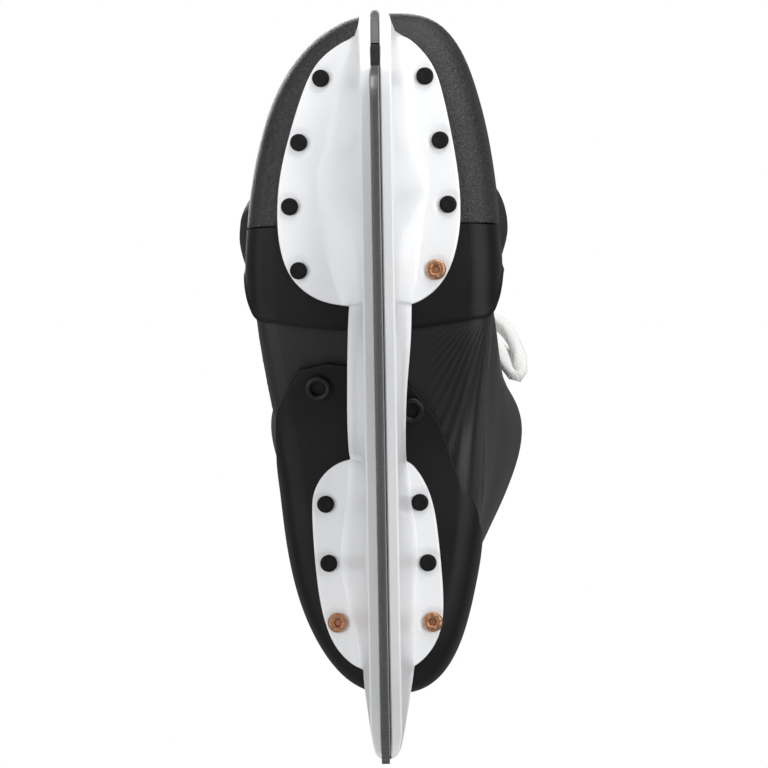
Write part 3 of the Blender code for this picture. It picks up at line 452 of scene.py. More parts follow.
class Nodes:
    """Short words for building a node material."""

    def __init__(self, name, color, roughness, metallic=0.0, **settings):
        self.material = bpy.data.materials.new(name)
        self.material.use_nodes = True
        self.tree = self.material.node_tree
        self.shader = self.tree.nodes["Principled BSDF"]
        self.shader.inputs["Base Color"].default_value = (*color, 1.0)
        self.shader.inputs["Roughness"].default_value = roughness
        self.shader.inputs["Metallic"].default_value = metallic
        for key, value in settings.items():
            self.shader.inputs[key.replace("_", " ")].default_value = value

    def add(self, kind, **inputs):
        node = self.tree.nodes.new(kind)
        for key, value in inputs.items():
            name = key.replace("_", " ")
            if name in node.inputs:
                node.inputs[name].default_value = value
            else:
                setattr(node, key, value)
        return node

    def link(self, source, target):
        self.tree.links.new(source, target)

    def place(self, scale=(1.0, 1.0, 1.0), source="Object"):
        """Object coordinates are metres in the shared frame; UV is metres along and up a skin."""
        coordinates = self.add("ShaderNodeTexCoord")
        mapping = self.add("ShaderNodeMapping", Scale=scale)
        self.link(coordinates.outputs[source], mapping.inputs["Vector"])
        return mapping.outputs["Vector"]

    def noise(self, scale, detail=4.0, roughness=0.55, stretch=(1.0, 1.0, 1.0)):
        node = self.add("ShaderNodeTexNoise", Scale=scale, Detail=detail, Roughness=roughness)
        self.link(self.place(stretch), node.inputs["Vector"])
        return node.outputs["Fac"]

    def cells(self, scale):
        node = self.add("ShaderNodeTexVoronoi", Scale=scale)
        self.link(self.place(), node.inputs["Vector"])
        return node.outputs["Distance"]

    def math(self, operation, a, b=None):
        node = self.add("ShaderNodeMath", operation=operation)
        for socket, value in zip(node.inputs, (a, b)):
            if value is None:
                continue
            if isinstance(value, (int, float)):
                socket.default_value = value
            else:
                self.link(value, socket)
        return node.outputs["Value"]

    def lifted(self, source):
        """A wave from -1 to 1 brought to 0 to 1."""
        return self.math("MULTIPLY", self.math("ADD", source, 1.0), 0.5)

    def axes(self, vector):
        node = self.add("ShaderNodeSeparateXYZ")
        self.link(vector, node.inputs["Vector"])
        return node.outputs

    def ramp(self, source, *stops):
        """stops are (position, colour or grey) pairs."""
        node = self.add("ShaderNodeValToRGB")
        elements = node.color_ramp.elements
        while len(elements) < len(stops):
            elements.new(0.5)
        for element, (position, color) in zip(elements, stops):
            element.position = position
            if isinstance(color, (int, float)):
                color = (color, color, color)
            element.color = (*color, 1.0)
        self.link(source, node.inputs["Fac"])
        return node.outputs["Color"]

    def color(self, source):
        self.link(source, self.shader.inputs["Base Color"])

    def roughness(self, source):
        self.link(source, self.shader.inputs["Roughness"])

    def bump(self, height, distance, strength=1.0, after=None):
        node = self.add("ShaderNodeBump", Distance=distance, Strength=strength)
        self.link(height, node.inputs["Height"])
        if after is not None:
            self.link(after, node.inputs["Normal"])
        self.link(node.outputs["Normal"], self.shader.inputs["Normal"])
        return node.outputs["Normal"]


def toe_cap_material():
    m = Nodes("grained_black_plastic", (0.02, 0.02, 0.021), 0.38, Specular_IOR_Level=0.5)
    grain = m.cells(1250.0)
    coarse = m.noise(900.0, 5.0, 0.75)
    mixed = m.math("ADD", grain, m.math("MULTIPLY", coarse, 1.4))
    m.color(m.ramp(coarse, (0.36, (0.007, 0.007, 0.008)), (0.52, (0.018, 0.018, 0.019)),
                   (0.72, (0.06, 0.06, 0.063))))
    m.roughness(m.ramp(m.noise(90.0), (0.3, 0.33), (0.7, 0.46)))
    m.bump(mixed, 0.0003, 0.7)
    return m.material


def outsole_material():
    m = Nodes("satin_black_plastic", (0.009, 0.009, 0.010), 0.42, Specular_IOR_Level=0.26)
    haze = m.noise(26.0, 3.0)
    fine = m.noise(1500.0, 3.0, 0.6)
    m.color(m.ramp(haze, (0.3, (0.0035, 0.0035, 0.004)), (0.75, (0.007, 0.007, 0.0075))))
    m.roughness(m.ramp(haze, (0.3, 0.36), (0.7, 0.5)))
    m.bump(fine, 0.00008, 0.35)
    return m.material


def carbon_material():
    """Fine twill under satin resin, with thin ribs that fan out over the arch on the big-toe side."""
    m = Nodes("carbon_weave", (0.010, 0.010, 0.011), 0.42, Specular_IOR_Level=0.35, Coat_Weight=0.08,
              Coat_Roughness=0.35)
    weave_at = m.axes(m.place(source="UV"))
    threads = [m.math("SINE", m.math("MULTIPLY", m.math(way, weave_at["X"], weave_at["Y"]),
                                     2 * math.pi / TWILL_PITCH)) for way in ("ADD", "SUBTRACT")]
    weave = m.lifted(m.math("MULTIPLY", *threads))
    object_at = m.axes(m.place())
    sideways = m.math("SUBTRACT", object_at["X"], FAN_CENTRE[0])
    lengthways = m.math("SUBTRACT", object_at["Y"], FAN_CENTRE[1])
    turn = m.math("ARCTAN2", sideways, lengthways)
    ribs = m.lifted(m.math("SINE", m.math("MULTIPLY", turn, FAN_RIBS)))
    inside = m.ramp(object_at["X"], (0.016, 0.0), (0.026, 1.0))
    behind = m.ramp(m.math("MULTIPLY", lengthways, 10.0), (0.05, 0.0), (0.2, 1.0), (0.8, 1.0), (1.0, 0.0))
    low = m.ramp(object_at["Z"], (0.10, 1.0), (0.125, 0.0))
    fan = m.math("MULTIPLY", m.math("MULTIPLY", ribs, inside), m.math("MULTIPLY", behind, low))
    tone = m.math("SUBTRACT", m.math("ADD", m.math("MULTIPLY", weave, 0.3), 0.7),
                  m.math("MULTIPLY", fan, 0.65))
    m.color(m.ramp(tone, (0.0, (0.003, 0.003, 0.0035)), (1.0, (0.018, 0.018, 0.019))))
    m.roughness(m.ramp(weave, (0.0, 0.5), (1.0, 0.38)))
    first = m.bump(weave, 0.00006, 0.35)
    m.bump(fan, 0.0004, 0.6, after=first)
    return m.material


def nylon_material():
    m = Nodes("white_nylon", (0.84, 0.85, 0.86), 0.34, Specular_IOR_Level=0.45, Subsurface_Weight=0.12,
              Subsurface_Radius=(0.004, 0.004, 0.004), Subsurface_Scale=1.0)
    flow = m.noise(18.0, 2.0)
    m.color(m.ramp(flow, (0.3, (0.80, 0.81, 0.825)), (0.7, (0.87, 0.875, 0.885))))
    m.roughness(m.ramp(m.noise(60.0), (0.3, 0.28), (0.7, 0.42)))
    m.bump(m.noise(700.0, 3.0), 0.00006, 0.3)
    return m.material


def steel_material():
    m = Nodes("ground_steel", (0.32, 0.32, 0.33), 0.34, 1.0)
    lines = m.noise(60.0, 6.0, 0.7, stretch=(1.0, 40.0, 1.0))
    m.color(m.ramp(lines, (0.25, (0.17, 0.17, 0.172)), (0.75, (0.31, 0.31, 0.314))))
    m.roughness(m.ramp(lines, (0.2, 0.24), (0.8, 0.42)))
    m.bump(lines, 0.00005, 0.35)
    return m.material


def copper_material():
    m = Nodes("copper", (0.62, 0.33, 0.2), 0.33, 1.0)
    patina = m.noise(420.0, 5.0, 0.65)
    m.color(m.ramp(patina, (0.3, (0.34, 0.16, 0.09)), (0.6, (0.62, 0.33, 0.2)), (0.85, (0.8, 0.5, 0.34))))
    m.roughness(m.ramp(patina, (0.2, 0.45), (0.8, 0.25)))
    m.bump(patina, 0.00008, 0.4)
    return m.material


def black_metal_material():
    m = Nodes("black_rivet", (0.004, 0.004, 0.005), 0.5, Specular_IOR_Level=0.2)
    scuff = m.noise(800.0, 4.0, 0.6)
    m.color(m.ramp(scuff, (0.4, (0.002, 0.002, 0.0025)), (0.85, (0.009, 0.009, 0.010))))
    m.roughness(m.ramp(scuff, (0.2, 0.45), (0.8, 0.6)))
    return m.material


def felt_material(name, dark, light, scale=900.0):
    m = Nodes(name, light, 0.95, Sheen_Weight=0.35, Sheen_Roughness=0.5)
    fibre = m.noise(scale, 7.0, 0.75)
    patches = m.noise(45.0, 3.0)
    mixed = m.math("ADD", m.math("MULTIPLY", fibre, 0.7), m.math("MULTIPLY", patches, 0.3))
    m.color(m.ramp(mixed, (0.32, dark), (0.66, light)))
    m.bump(fibre, 0.0005, 0.6)
    return m.material


def lace_material():
    """Flat braid: herringbone ridges along the lace, from its UV map in metres."""
    m = Nodes("white_lace", (0.82, 0.82, 0.8), 0.85, Sheen_Weight=0.3)
    parts = m.axes(m.place(source="UV"))
    chevron = m.math("ABSOLUTE", m.math("SUBTRACT", m.math("FRACT", m.math(
        "MULTIPLY", parts["X"], 1.0 / (LACE_WIDTH * MM / 3.0))), 0.5))
    ridge = m.math("SINE", m.math("ADD", m.math("MULTIPLY", parts["Y"], 2 * math.pi / BRAID_PITCH),
                                  m.math("MULTIPLY", chevron, 9.0)))
    level = m.lifted(ridge)
    m.color(m.ramp(level, (0.0, (0.76, 0.76, 0.75)), (0.6, (0.88, 0.88, 0.87))))
    first = m.bump(level, 0.0002, 0.4)
    m.bump(m.noise(1600.0, 5.0, 0.7), 0.00015, 0.3, after=first)
    return m.material


def rubber_material():
    m = Nodes("black_rubber", (0.008, 0.008, 0.009), 0.3)
    spots = m.noise(600.0, 4.0)
    m.color(m.ramp(spots, (0.3, (0.004, 0.004, 0.0045)), (0.8, (0.010, 0.010, 0.011))))
    m.bump(spots, 0.00008, 0.3)
    return m.material


MATERIALS = {
    "grained_black_plastic": toe_cap_material(),
    "satin_black_plastic": outsole_material(),
    "carbon_weave": carbon_material(),
    "white_nylon": nylon_material(),
    "ground_steel": steel_material(),
    "copper": copper_material(),
    "black_rivet": black_metal_material(),
    "white_felt": felt_material("white_felt", (0.5, 0.5, 0.48), (0.78, 0.78, 0.76)),
    "grey_lining": felt_material("grey_lining", (0.05, 0.05, 0.053), (0.13, 0.13, 0.135), 1400.0),
    "white_lace": lace_material(),
    "black_rubber": rubber_material(),
}


def dress(obj, slot):
    obj.data.materials.clear()
    obj.data.materials.append(MATERIALS[slot])


def stand_for(obj, slot, body, *nodes):
    """Give a piece its finish and body, and let it stand for CAD nodes."""
    dress(obj, slot)
    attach(obj, body)
    if nodes:
        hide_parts(*nodes)
    return obj


# ---------------------------------------------------------------- boot surfaces

SOLE_FINE = steps(-1.0, 8, -0.2, 4, 0.0, 2, 2.2, 4, 7.0, 5, 15.0, 6, 27.0)


def cap_edge(level, side):
    return turn_at_y(level, SEAM_Y - SEAM_GAP - 27.0 * smoothstep(12.0, 46.0, level))


def make_toe_cap():
    levels = SOLE_FINE + steps(27.0, 16, 59.0)[1:]
    return skin("toe_cap_skin", levels, cap_edge, 110, 0.0, OVERLAY, around_heel=False)


def outsole_rear_y(level):
    across = min(1.0, 1.0 + level)
    return -21.5 - 4.0 * across ** 2 - 19.0 * smoothstep(0.0, 20.0, level)


def make_forefoot_outsole():
    """A band from the toe cap's seam back to a lip that stands a little proud."""
    bm = bmesh.new()
    levels = SOLE_FINE[:-6] + [16.5, 18.0, 20.0]
    columns = 46
    crossing = []
    for side in (1, -1):
        ordered = levels if side == 1 else levels[1:]
        for level in ordered:
            front = turn_at_y(level, SEAM_Y + SEAM_GAP)
            rear = turn_at_y(level, outsole_rear_y(level))
            line = [(level, side * (front + (rear - front) * j / columns)) for j in range(columns + 1)]
            crossing.append((side * (2.0 + level), line))
    crossing.sort(key=lambda item: item[0])
    rows = [[bm.verts.new(form(*p)) for p in line] for _, line in crossing]
    for lower, upper in zip(rows, rows[1:]):
        for j in range(columns):
            bm.faces.new((lower[j], upper[j], upper[j + 1], lower[j + 1]))
    bm.normal_update()
    if sum(f.normal.z for f in bm.faces) > 0:
        bmesh.ops.reverse_faces(bm, faces=bm.faces)
        bm.normal_update()
    for row in rows:
        for j, vert in enumerate(row):
            from_lip = (row[-1].co - vert.co).length
            vert.co += vert.normal * 0.7 * math.exp(-((from_lip - 2.0) / 1.6) ** 2)
    bmesh.ops.scale(bm, vec=(MM, MM, MM), verts=bm.verts)
    obj = thicken(new_piece("forefoot_outsole_skin", bm), OVERLAY, even_normals=False)
    return edge_bevel(obj, 0.5, 3, RIM_ANGLE)


def heel_edge(level, side):
    across = min(1.0, 1.0 + level)
    if side > 0:
        y = -6.0 + linear(((0.0, 0.0), (0.4, 8.0), (0.7, 22.0), (1.0, 50.0)), across)
        y += linear(((0.0, 0.0), (7.0, 14.0), (27.0, 30.0), (45.0, 60.0)), level)
    else:
        y = -6.0 + linear(((0.0, 0.0), (0.5, -2.5), (0.8, 0.0), (1.0, 10.0)), across)
        y += linear(((0.0, 0.0), (7.0, 22.0), (27.0, 52.0), (45.0, 90.0)), level)
    return turn_at_y(level, y)


def make_heel_outsole():
    levels = SOLE_FINE + steps(27.0, 7, 40.0)[1:]
    return skin("heel_outsole_skin", levels, heel_edge, 130, 0.0, OVERLAY)


def shell_edge(level, side):
    low = turn_at_y(level, SEAM_Y - 14.0 - 20.0 * smoothstep(20.0, 44.0, level))
    high = turn_at_half(level, throat_half(level))
    return low + (high - low) * smoothstep(42.0, 58.0, level)


def eyestay(level, turn, point):
    """How far inside the raised eyestay band a point lies, 1 in the band and 0 outside."""
    if level < 50.0 or point.y > 60.0:
        return 0.0
    near = turn if turn < math.pi else 2 * math.pi - turn
    start = turn_at_half(level, throat_half(level))
    here = form(level, near)
    reach = (here - form(level, start)).length
    return 1.0 - smoothstep(STAY_WIDTH, STAY_WIDTH + 1.5, reach)


def quarter_flare(level, point):
    """The quarters stand out beyond the toe cap where they meet it."""
    rise = smoothstep(22.0, 30.0, level) * (1.0 - smoothstep(46.0, 62.0, level))
    seam = SEAM_Y - 27.0 * smoothstep(12.0, 46.0, level)
    front = smoothstep(seam, seam + 8.0, point.y)
    if point.x > 0.0:
        return FLARE_MEDIAL * rise * front * (1.0 - smoothstep(-66.0, -40.0, point.y))
    return FLARE_LATERAL * rise * front * (1.0 - smoothstep(-64.0, -34.0, point.y))


def shell_relief(level, turn, point):
    """Flared quarters, raised eyestay bands and slanting ribs over the arch."""
    raised = 0.5 * eyestay(level, turn, point) * smoothstep(50.0, 62.0, level)
    raised += quarter_flare(level, point)
    ribs = smoothstep(-30.0, -10.0, point.y) * (1.0 - smoothstep(45.0, 75.0, point.y))
    ribs *= smoothstep(2.0, 12.0, level) * (1.0 - smoothstep(48.0, 70.0, level))
    wave = math.sin((point.y * 0.75 - level * 1.1) * 2 * math.pi / RIB_PITCH)
    return raised + RIB_HEIGHT * ribs * wave


def make_shell():
    levels = SOLE_FINE + steps(27.0, 10, 50.0, 6, 62.0, 50, 150.0)[1:]
    return skin("boot_shell_skin", levels, shell_edge, 210, SHELL_DEPTH, SHELL, relief=shell_relief)


def liner_edge(level, side):
    low = turn_at_y(level, SEAM_Y + 6.0)
    high = turn_at_half(level, throat_half(level) + 13.0 - 3.0 * smoothstep(70.0, 100.0, level))
    return low + (high - low) * smoothstep(46.0, 62.0, level)


def make_liner():
    levels = steps(20.0, 40, 149.0)
    return skin("ankle_liner_pad", levels, liner_edge, 110, LINER_DEPTH, LINER, round_rim=1.5)


def collar_edge(level, side):
    return turn_at_half(level, throat_half(150.0) + 7.0)


def make_collar():
    levels = steps(151.4, 8, 160.0)
    return skin("collar_pad", levels, collar_edge, 110, 3.4, 7.0, round_rim=3.0)


def guard_edge(level, side):
    return turn_from_heel(level, linear(((160.0, 32.0), (172.0, 31.5), (182.0, 28.5), (192.0, 22.5),
                                         (199.0, 17.5), (202.5, 14.0), (204.0, 9.5)), level))


def make_guard():
    levels = steps(161.2, 30, 198.0, 14, 204.0)
    return skin("tendon_guard_skin", levels, guard_edge, 50, 3.0, 4.0, round_rim=1.2)


def make_tongue():
    levels = steps(62.0, 50, 148.0)
    return skin("tongue_pad", levels, lambda level, side: turn_at_half(level, throat_half(level) + 4.0),
                50, TONGUE_DEPTH, TONGUE, around_heel=False, round_rim=1.5)


def flap_edge(level, side):
    return turn_at_half(level, linear(((150.0, 28.0), (165.0, 28.5), (184.0, 27.0), (192.0, 24.6),
                                       (196.5, 21.5), (199.0, 17.5), (200.0, 13.0)), level))


def make_flap():
    levels = steps(150.6, 30, 190.0, 16, 200.0)
    return skin("tongue_flap_pad", levels, flap_edge, 50, 0.0, 8.0, around_heel=False, round_rim=2.2)


# ---------------------------------------------------------------- blade holder and steel

def rail_bottom(y):
    """Lower edge of the rails: level, turning up at the nose and the tail."""
    return RAIL_Z + 7.0 * smoothstep(-112.0, -146.0, y) + 3.0 * smoothstep(112.0, 146.0, y)


def outline_half(outline, y, side):
    """Half width of a plate's outline on one side at y, or 0 beyond its ends."""
    half = 0.0
    for (x1, y1), (x2, y2) in zip(outline, outline[1:] + outline[:1]):
        if min(y1, y2) <= y <= max(y1, y2) and y1 != y2:
            x = x1 + (x2 - x1) * (y - y1) / (y2 - y1)
            half = max(half, side * x)
    return half


def rounded(outline, passes):
    """Chaikin corner cutting of a closed outline."""
    outline = list(outline)
    for _ in range(passes):
        finer = []
        for a, b in zip(outline, outline[1:] + outline[:1]):
            finer.append((0.75 * a[0] + 0.25 * b[0], 0.75 * a[1] + 0.25 * b[1]))
            finer.append((0.25 * a[0] + 0.75 * b[0], 0.25 * a[1] + 0.75 * b[1]))
        outline = finer
    return outline


def rivet_places():
    places = []
    for node in NODES:
        if node.startswith("rivet_"):
            low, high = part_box(node)
            places.append(((low.x + high.x) / 2 / MM, (low.y + high.y) / 2 / MM))
    return places


def holder_side(y, side, plates):
    """Half of a cross-section at y, from the slot out to the plate's rim and back over the top.

    Returns (half width, height) pairs. The same number of points comes back at every y."""
    low = rail_bottom(y) + 3.0 * (1.0 - smoothstep(-148.8, -146.5, y)) + 2.0 * smoothstep(144.0, 146.2, y)
    from_end = max(0.0, NOSE_SLOT + SLOT_HALF - y)
    slot = math.sqrt(max(0.0, SLOT_HALF ** 2 - from_end ** 2))
    slot_top = SLOT_TOP if slot > 0.0 else low
    if LOCK_POCKET[0] < y < LOCK_POCKET[1]:
        slot_top = LOCK_POCKET_TOP
    keel = flowing(KEEL_RIGHT if side > 0 else KEEL_LEFT, y)
    rim = min(RAIL_HALF, keel * 0.9)
    plate_half, plate_top = 0.0, 0.0
    for outline, top in plates:
        half = outline_half(outline, y, side)
        if half > plate_half:
            plate_half, plate_top = half, top
    keel_top = linear(KEEL_TOPS, y)
    base = keel
    if plate_half > keel:
        tower = flowing(TOWER_RIGHT if side > 0 else TOWER_LEFT, y)
        base = min(max(keel, tower), plate_half - 0.2)
        under, top, edge = plate_top - PLATE, plate_top, plate_half
    else:
        under, top, edge = max(low + 7.0, keel_top - 2.4), keel_top, base
    crest_part = linear(CREST_PART, y)
    crest = rim + (base - rim) * crest_part
    crest_z = low + (under - low) * linear(CREST_RISE, y)
    flat = min(slot + 0.5, rim - 0.1) if slot > 0.0 else 0.0
    points = [(slot, slot_top), (slot, low + 0.5 * (slot > 0.0)), (flat, low),
              (max(flat, rim - 0.6), low), (rim, low + 0.5)]
    points += [(rim + (crest - rim) * t, low + 0.5 + (crest_z - low - 0.5) * t ** 0.92)
               for t in (0.2, 0.4, 0.6, 0.8, 1.0)]
    fall = under - crest_z
    points += [(crest + (base - crest) * t, crest_z + fall * (1.0 - (1.0 - t) ** 1.7))
               for t in (0.25, 0.5, 0.75, 1.0)]
    points += [(base + (edge - 0.7 - base) * t, under) for t in steps(0.05, 15, 1.0)]
    points += [(edge - 0.2, under + 0.2), (edge, under + 0.7), (edge, top - 0.6), (edge - 0.2, top - 0.15),
               (edge - 0.7, top)]
    points += [((edge - 0.7) * t, top) for t in (0.66, 0.33)]
    return points


def make_holder():
    """Nose to tail in one closed loft: rails, towers with their creases, bridge and riveted plates."""
    plates = [(rounded(outline, 3), top)
              for outline, top in ((FRONT_PLATE, FRONT_PLATE_TOP), (REAR_PLATE, REAR_PLATE_TOP))]
    stations = steps(*HOLDER_STATIONS)
    rows = []
    bm = bmesh.new()
    rivets = rivet_places()
    for y in stations:
        right = holder_side(y, 1, plates)
        left = holder_side(y, -1, plates)
        ring = [(x, z) for x, z in right] + [(0.0, right[-1][1])] + [(-x, z) for x, z in reversed(left)]
        row = []
        for x, z in ring:
            z += pocket(x, y, z, rivets)
            row.append(bm.verts.new((x, y, z)))
        rows.append(row)
    join_rows(bm, rows)
    bmesh.ops.remove_doubles(bm, verts=bm.verts, dist=0.001)
    bmesh.ops.scale(bm, vec=(MM, MM, MM), verts=bm.verts)
    bmesh.ops.recalc_face_normals(bm, faces=bm.faces)
    return new_piece("blade_holder_moulding", bm, 38.0)


def pocket(x, y, z, rivets):
    """Height change of the plates' underside round the rivets: a flat seat with a soft rim."""
    if z > SOLE_FRONT + SOLE_LIFT - 1.5 or SOLE_FRONT - 2.0 < z < SOLE_FRONT + 2.0 or abs(x) < 9.0:
        return 0.0
    change = 0.0
    for rx, ry in rivets:
        d = math.hypot(x - rx, y - ry)
        if d < 9.0:
            change += 0.32 * (1.0 - smoothstep(5.2, 5.9, d))
            change -= 0.08 * math.exp(-((d - 6.2) / 0.5) ** 2)
    return change


def turned(name, profile, sides=48):
    """A round piece about +Z from an (r, height) profile in millimetres."""
    bm = bmesh.new()
    rings = []
    for r, h in profile:
        if r < 0.001:
            rings.append([bm.verts.new((0, 0, h * MM))])
            continue
        rings.append([bm.verts.new((r * MM * math.cos(2 * math.pi * i / sides),
                                    r * MM * math.sin(2 * math.pi * i / sides), h * MM))
                      for i in range(sides)])
    pairs = list(zip(rings, rings[1:]))
    if profile[0][0] > 0.001:
        pairs.append((rings[-1], rings[0]))
    for a, b in pairs:
        for i in range(sides):
            j = (i + 1) % sides
            quad = [a[i % len(a)], b[i % len(b)], b[j % len(b)], a[j % len(a)]]
            bm.faces.new(list(dict.fromkeys(quad)))
    bmesh.ops.recalc_face_normals(bm, faces=bm.faces)
    return new_piece(name, bm, 40.0)


def make_rivets():
    """Black flat heads with a soft edge; the copper ones show their rolled ends."""
    for node in sorted(n for n in NODES if n.startswith("rivet_")):
        low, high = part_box(node)
        middle = (low + high) / 2
        copper = node in COPPER_RIVETS
        height = (high.z - low.z) / MM
        if copper:
            profile = [(0.0, 1.5), (1.2, 1.5), (1.5, 0.5), (2.0, 0.1), (2.7, 0.0), (3.4, 0.12), (3.9, 0.45),
                       (4.1, 0.95), (4.0, 1.45), (2.2, 1.5), (2.2, height), (0.0, height)]
        else:
            profile = [(0.0, 0.05), (1.3, 0.05), (1.5, 0.0), (2.9, 0.0), (3.3, 0.1), (3.5, 0.35), (3.5, 0.95),
                       (2.2, 1.0), (2.2, height), (0.0, height)]
        obj = turned(node + "_head", profile)
        if copper:
            for vert in obj.data.vertices:
                r = math.hypot(vert.co.x, vert.co.y) / MM
                if 1.0 < r < 4.05 and vert.co.z < 1.4 * MM:
                    angle = math.atan2(vert.co.y, vert.co.x)
                    vert.co.z += 0.22 * MM * (0.5 + 0.5 * math.cos(6 * angle)) ** 6
        obj.data.transform(Matrix.Translation((middle.x, middle.y, low.z)))
        stand_for(obj, "copper" if copper else "black_rivet", "skate", node)


def smooth_route(points, spacing):
    """Catmull-Rom curve through points, stepped evenly."""
    vectors = [Vector(p) for p in points]
    fine = []
    for i in range(len(vectors) - 1):
        p0, p1 = vectors[max(0, i - 1)], vectors[i]
        p2, p3 = vectors[i + 1], vectors[min(len(vectors) - 1, i + 2)]
        for k in range(12):
            t = k / 12
            fine.append(0.5 * ((2 * p1) + (p2 - p0) * t + (2 * p0 - 5 * p1 + 4 * p2 - p3) * t * t
                               + (3 * p1 - p0 - 3 * p2 + p3) * t ** 3))
    fine.append(vectors[-1])
    out = [fine[0]]
    travelled = 0.0
    for a, b in zip(fine, fine[1:]):
        travelled += (b - a).length
        if travelled >= spacing:
            out.append(b)
            travelled = 0.0
    out[-1] = fine[-1]
    return out


def make_runner():
    """The steel: rocker, upturned ends and a shallow hollow ground along its bottom."""
    sole = smooth_route([(0.0, y, z) for y, z in RUNNER_SOLE], 1.5)
    outline = [(p.y, p.z) for p in sole] + list(RUNNER_BACK)
    bm = bmesh.new()
    rows = []
    for y, z in outline:
        row = []
        for part in (-1.0, -0.5, 0.0, 0.5, 1.0):
            hollow = HOLLOW * (1.0 - part ** 2) * (1.0 - smoothstep(4.0, 12.0, z))
            row.append(bm.verts.new((part * STEEL_HALF * MM, y * MM, (z + hollow) * MM)))
        rows.append(row)
    for a, b in zip(rows, rows[1:] + rows[:1]):
        for k in range(4):
            bm.faces.new((a[k], a[k + 1], b[k + 1], b[k]))
    bm.faces.new([row[0] for row in rows])
    bm.faces.new([row[4] for row in reversed(rows)])
    bmesh.ops.recalc_face_normals(bm, faces=bm.faces)
    return edge_bevel(new_piece("runner_steel", bm, 35.0), 0.12)


def surface_frame(level, turn):
    """A point of the boot's outside and the direction straight out of it."""
    here = form(level, turn)
    along_turn = form(level, turn + 0.02) - form(level, turn - 0.02)
    along_rise = form(level + 1.0, turn) - form(level - 1.0, turn)
    normal = along_turn.cross(along_rise).normalized()
    if normal.y > 0:
        normal = -normal
    return here, normal


def set_in(obj, place, axis):
    """Move a turned piece so that its axis runs through place."""
    rotation = Vector((0.0, 0.0, 1.0)).rotation_difference(Vector(axis)).to_matrix().to_4x4()
    obj.data.transform(Matrix.Translation(Vector(place) * MM) @ rotation)
    return obj


def make_eyelets():
    profile = [(1.7, -2.4), (2.4, -2.4), (2.4, 0.6), (3.35, 0.6), (3.6, 0.75), (3.65, 1.0), (3.45, 1.35),
               (2.9, 1.65), (2.3, 1.7), (1.85, 1.45), (1.7, 1.0)]
    for side, word in ((1, "medial"), (-1, "lateral")):
        for index in range(EYELETS):
            level = EYELET_FIRST + (EYELET_LAST - EYELET_FIRST) * index / (EYELETS - 1)
            turn = turn_at_half(level, throat_half(level) + EYELET_FROM_EDGE) * side
            here, normal = surface_frame(level, turn)
            obj = turned(f"eyelet_{word}_{index + 1}_ring", profile, 40)
            set_in(obj, here - normal * (SHELL_DEPTH - 0.4), normal)
            stand_for(obj, "copper", "skate", f"eyelet_{word}_{index + 1}")


def make_stitches():
    """Copper thread in short stitches along the lower edge of both eyestay bands."""
    bm = bmesh.new()
    for side in (1, -1):
        level = 64.0
        while level < 149.0:
            start = turn_at_half(level, throat_half(level))
            edge = form(level, start)
            turn = start
            while (form(level, turn) - edge).length < STAY_WIDTH - 1.6:
                turn += 0.004
            here, normal = surface_frame(level, turn * side)
            ahead, _ = surface_frame(level + 1.0, turn * side)
            run = (ahead - here).normalized()
            made = bmesh.ops.create_uvsphere(bm, u_segments=8, v_segments=6, radius=1.0)
            across = run.cross(normal)
            shape = Matrix((run * 0.95, across * 0.38, normal * 0.34)).transposed().to_4x4()
            shape.translation = here - normal * (SHELL_DEPTH - 0.75)
            bmesh.ops.transform(bm, matrix=shape, verts=made["verts"])
            level += STITCH_PITCH
    bmesh.ops.scale(bm, vec=(MM, MM, MM), verts=bm.verts)
    return stand_for(new_piece("eyestay_stitching", bm), "copper", "skate")


def make_vents():
    """A rolled ring in each vent hole and a woven wire screen behind it."""
    ring = [(3.2, -2.0), (3.5, -2.35), (4.1, -2.6), (4.6, -2.55), (5.05, -2.25), (5.2, -1.8),
            (4.9, -1.3), (4.0, -0.8), (4.0, 3.4), (3.2, 3.4)]
    for side, x, y in VENTS:
        slope = (sole_z(y + 2.0) - sole_z(y - 2.0)) / 4.0
        axis = Vector((0.0, -slope, 1.0)).normalized()
        place = (x, y, sole_z(y))
        obj = set_in(turned(f"vent_ring_{side}", ring, 56), place, axis)
        stand_for(obj, "black_rubber", "skate", f"vent_grommet_{side}")
        screen = set_in(wire_screen(f"vent_mesh_{side}"), place, axis)
        stand_for(screen, "black_rivet", "skate", f"vent_screen_{side}")


def wire_screen(name):
    """Woven wires over a thin backing disc, facing down."""
    screen = turned(name, [(0.0, 4.3), (VENT_HOLE - 0.1, 4.3), (VENT_HOLE - 0.1, 4.7), (0.0, 4.7)], 32)
    bm = bmesh.new()
    bm.from_mesh(screen.data)
    count = int(VENT_HOLE / WIRE_PITCH)
    for k in range(-count, count + 1):
        offset = k * WIRE_PITCH
        reach = math.sqrt((VENT_HOLE - 0.15) ** 2 - offset ** 2)
        for lengthwise in (False, True):
            rows = []
            for step in range(25):
                s = -reach + 2 * reach * step / 24
                wave = 0.16 * math.cos(math.pi * s / WIRE_PITCH + math.pi * (k + lengthwise))
                row = []
                for corner in range(6):
                    a = math.pi / 3 * corner
                    side, height = offset + WIRE * math.cos(a), 3.9 + wave + WIRE * math.sin(a)
                    point = (side, s, height) if lengthwise else (s, side, height)
                    row.append(bm.verts.new(Vector(point) * MM))
                rows.append(row)
            join_rows(bm, rows)
    bmesh.ops.recalc_face_normals(bm, faces=bm.faces)
    bm.to_mesh(screen.data)
    bm.free()
    screen.data.shade_smooth()
    return screen


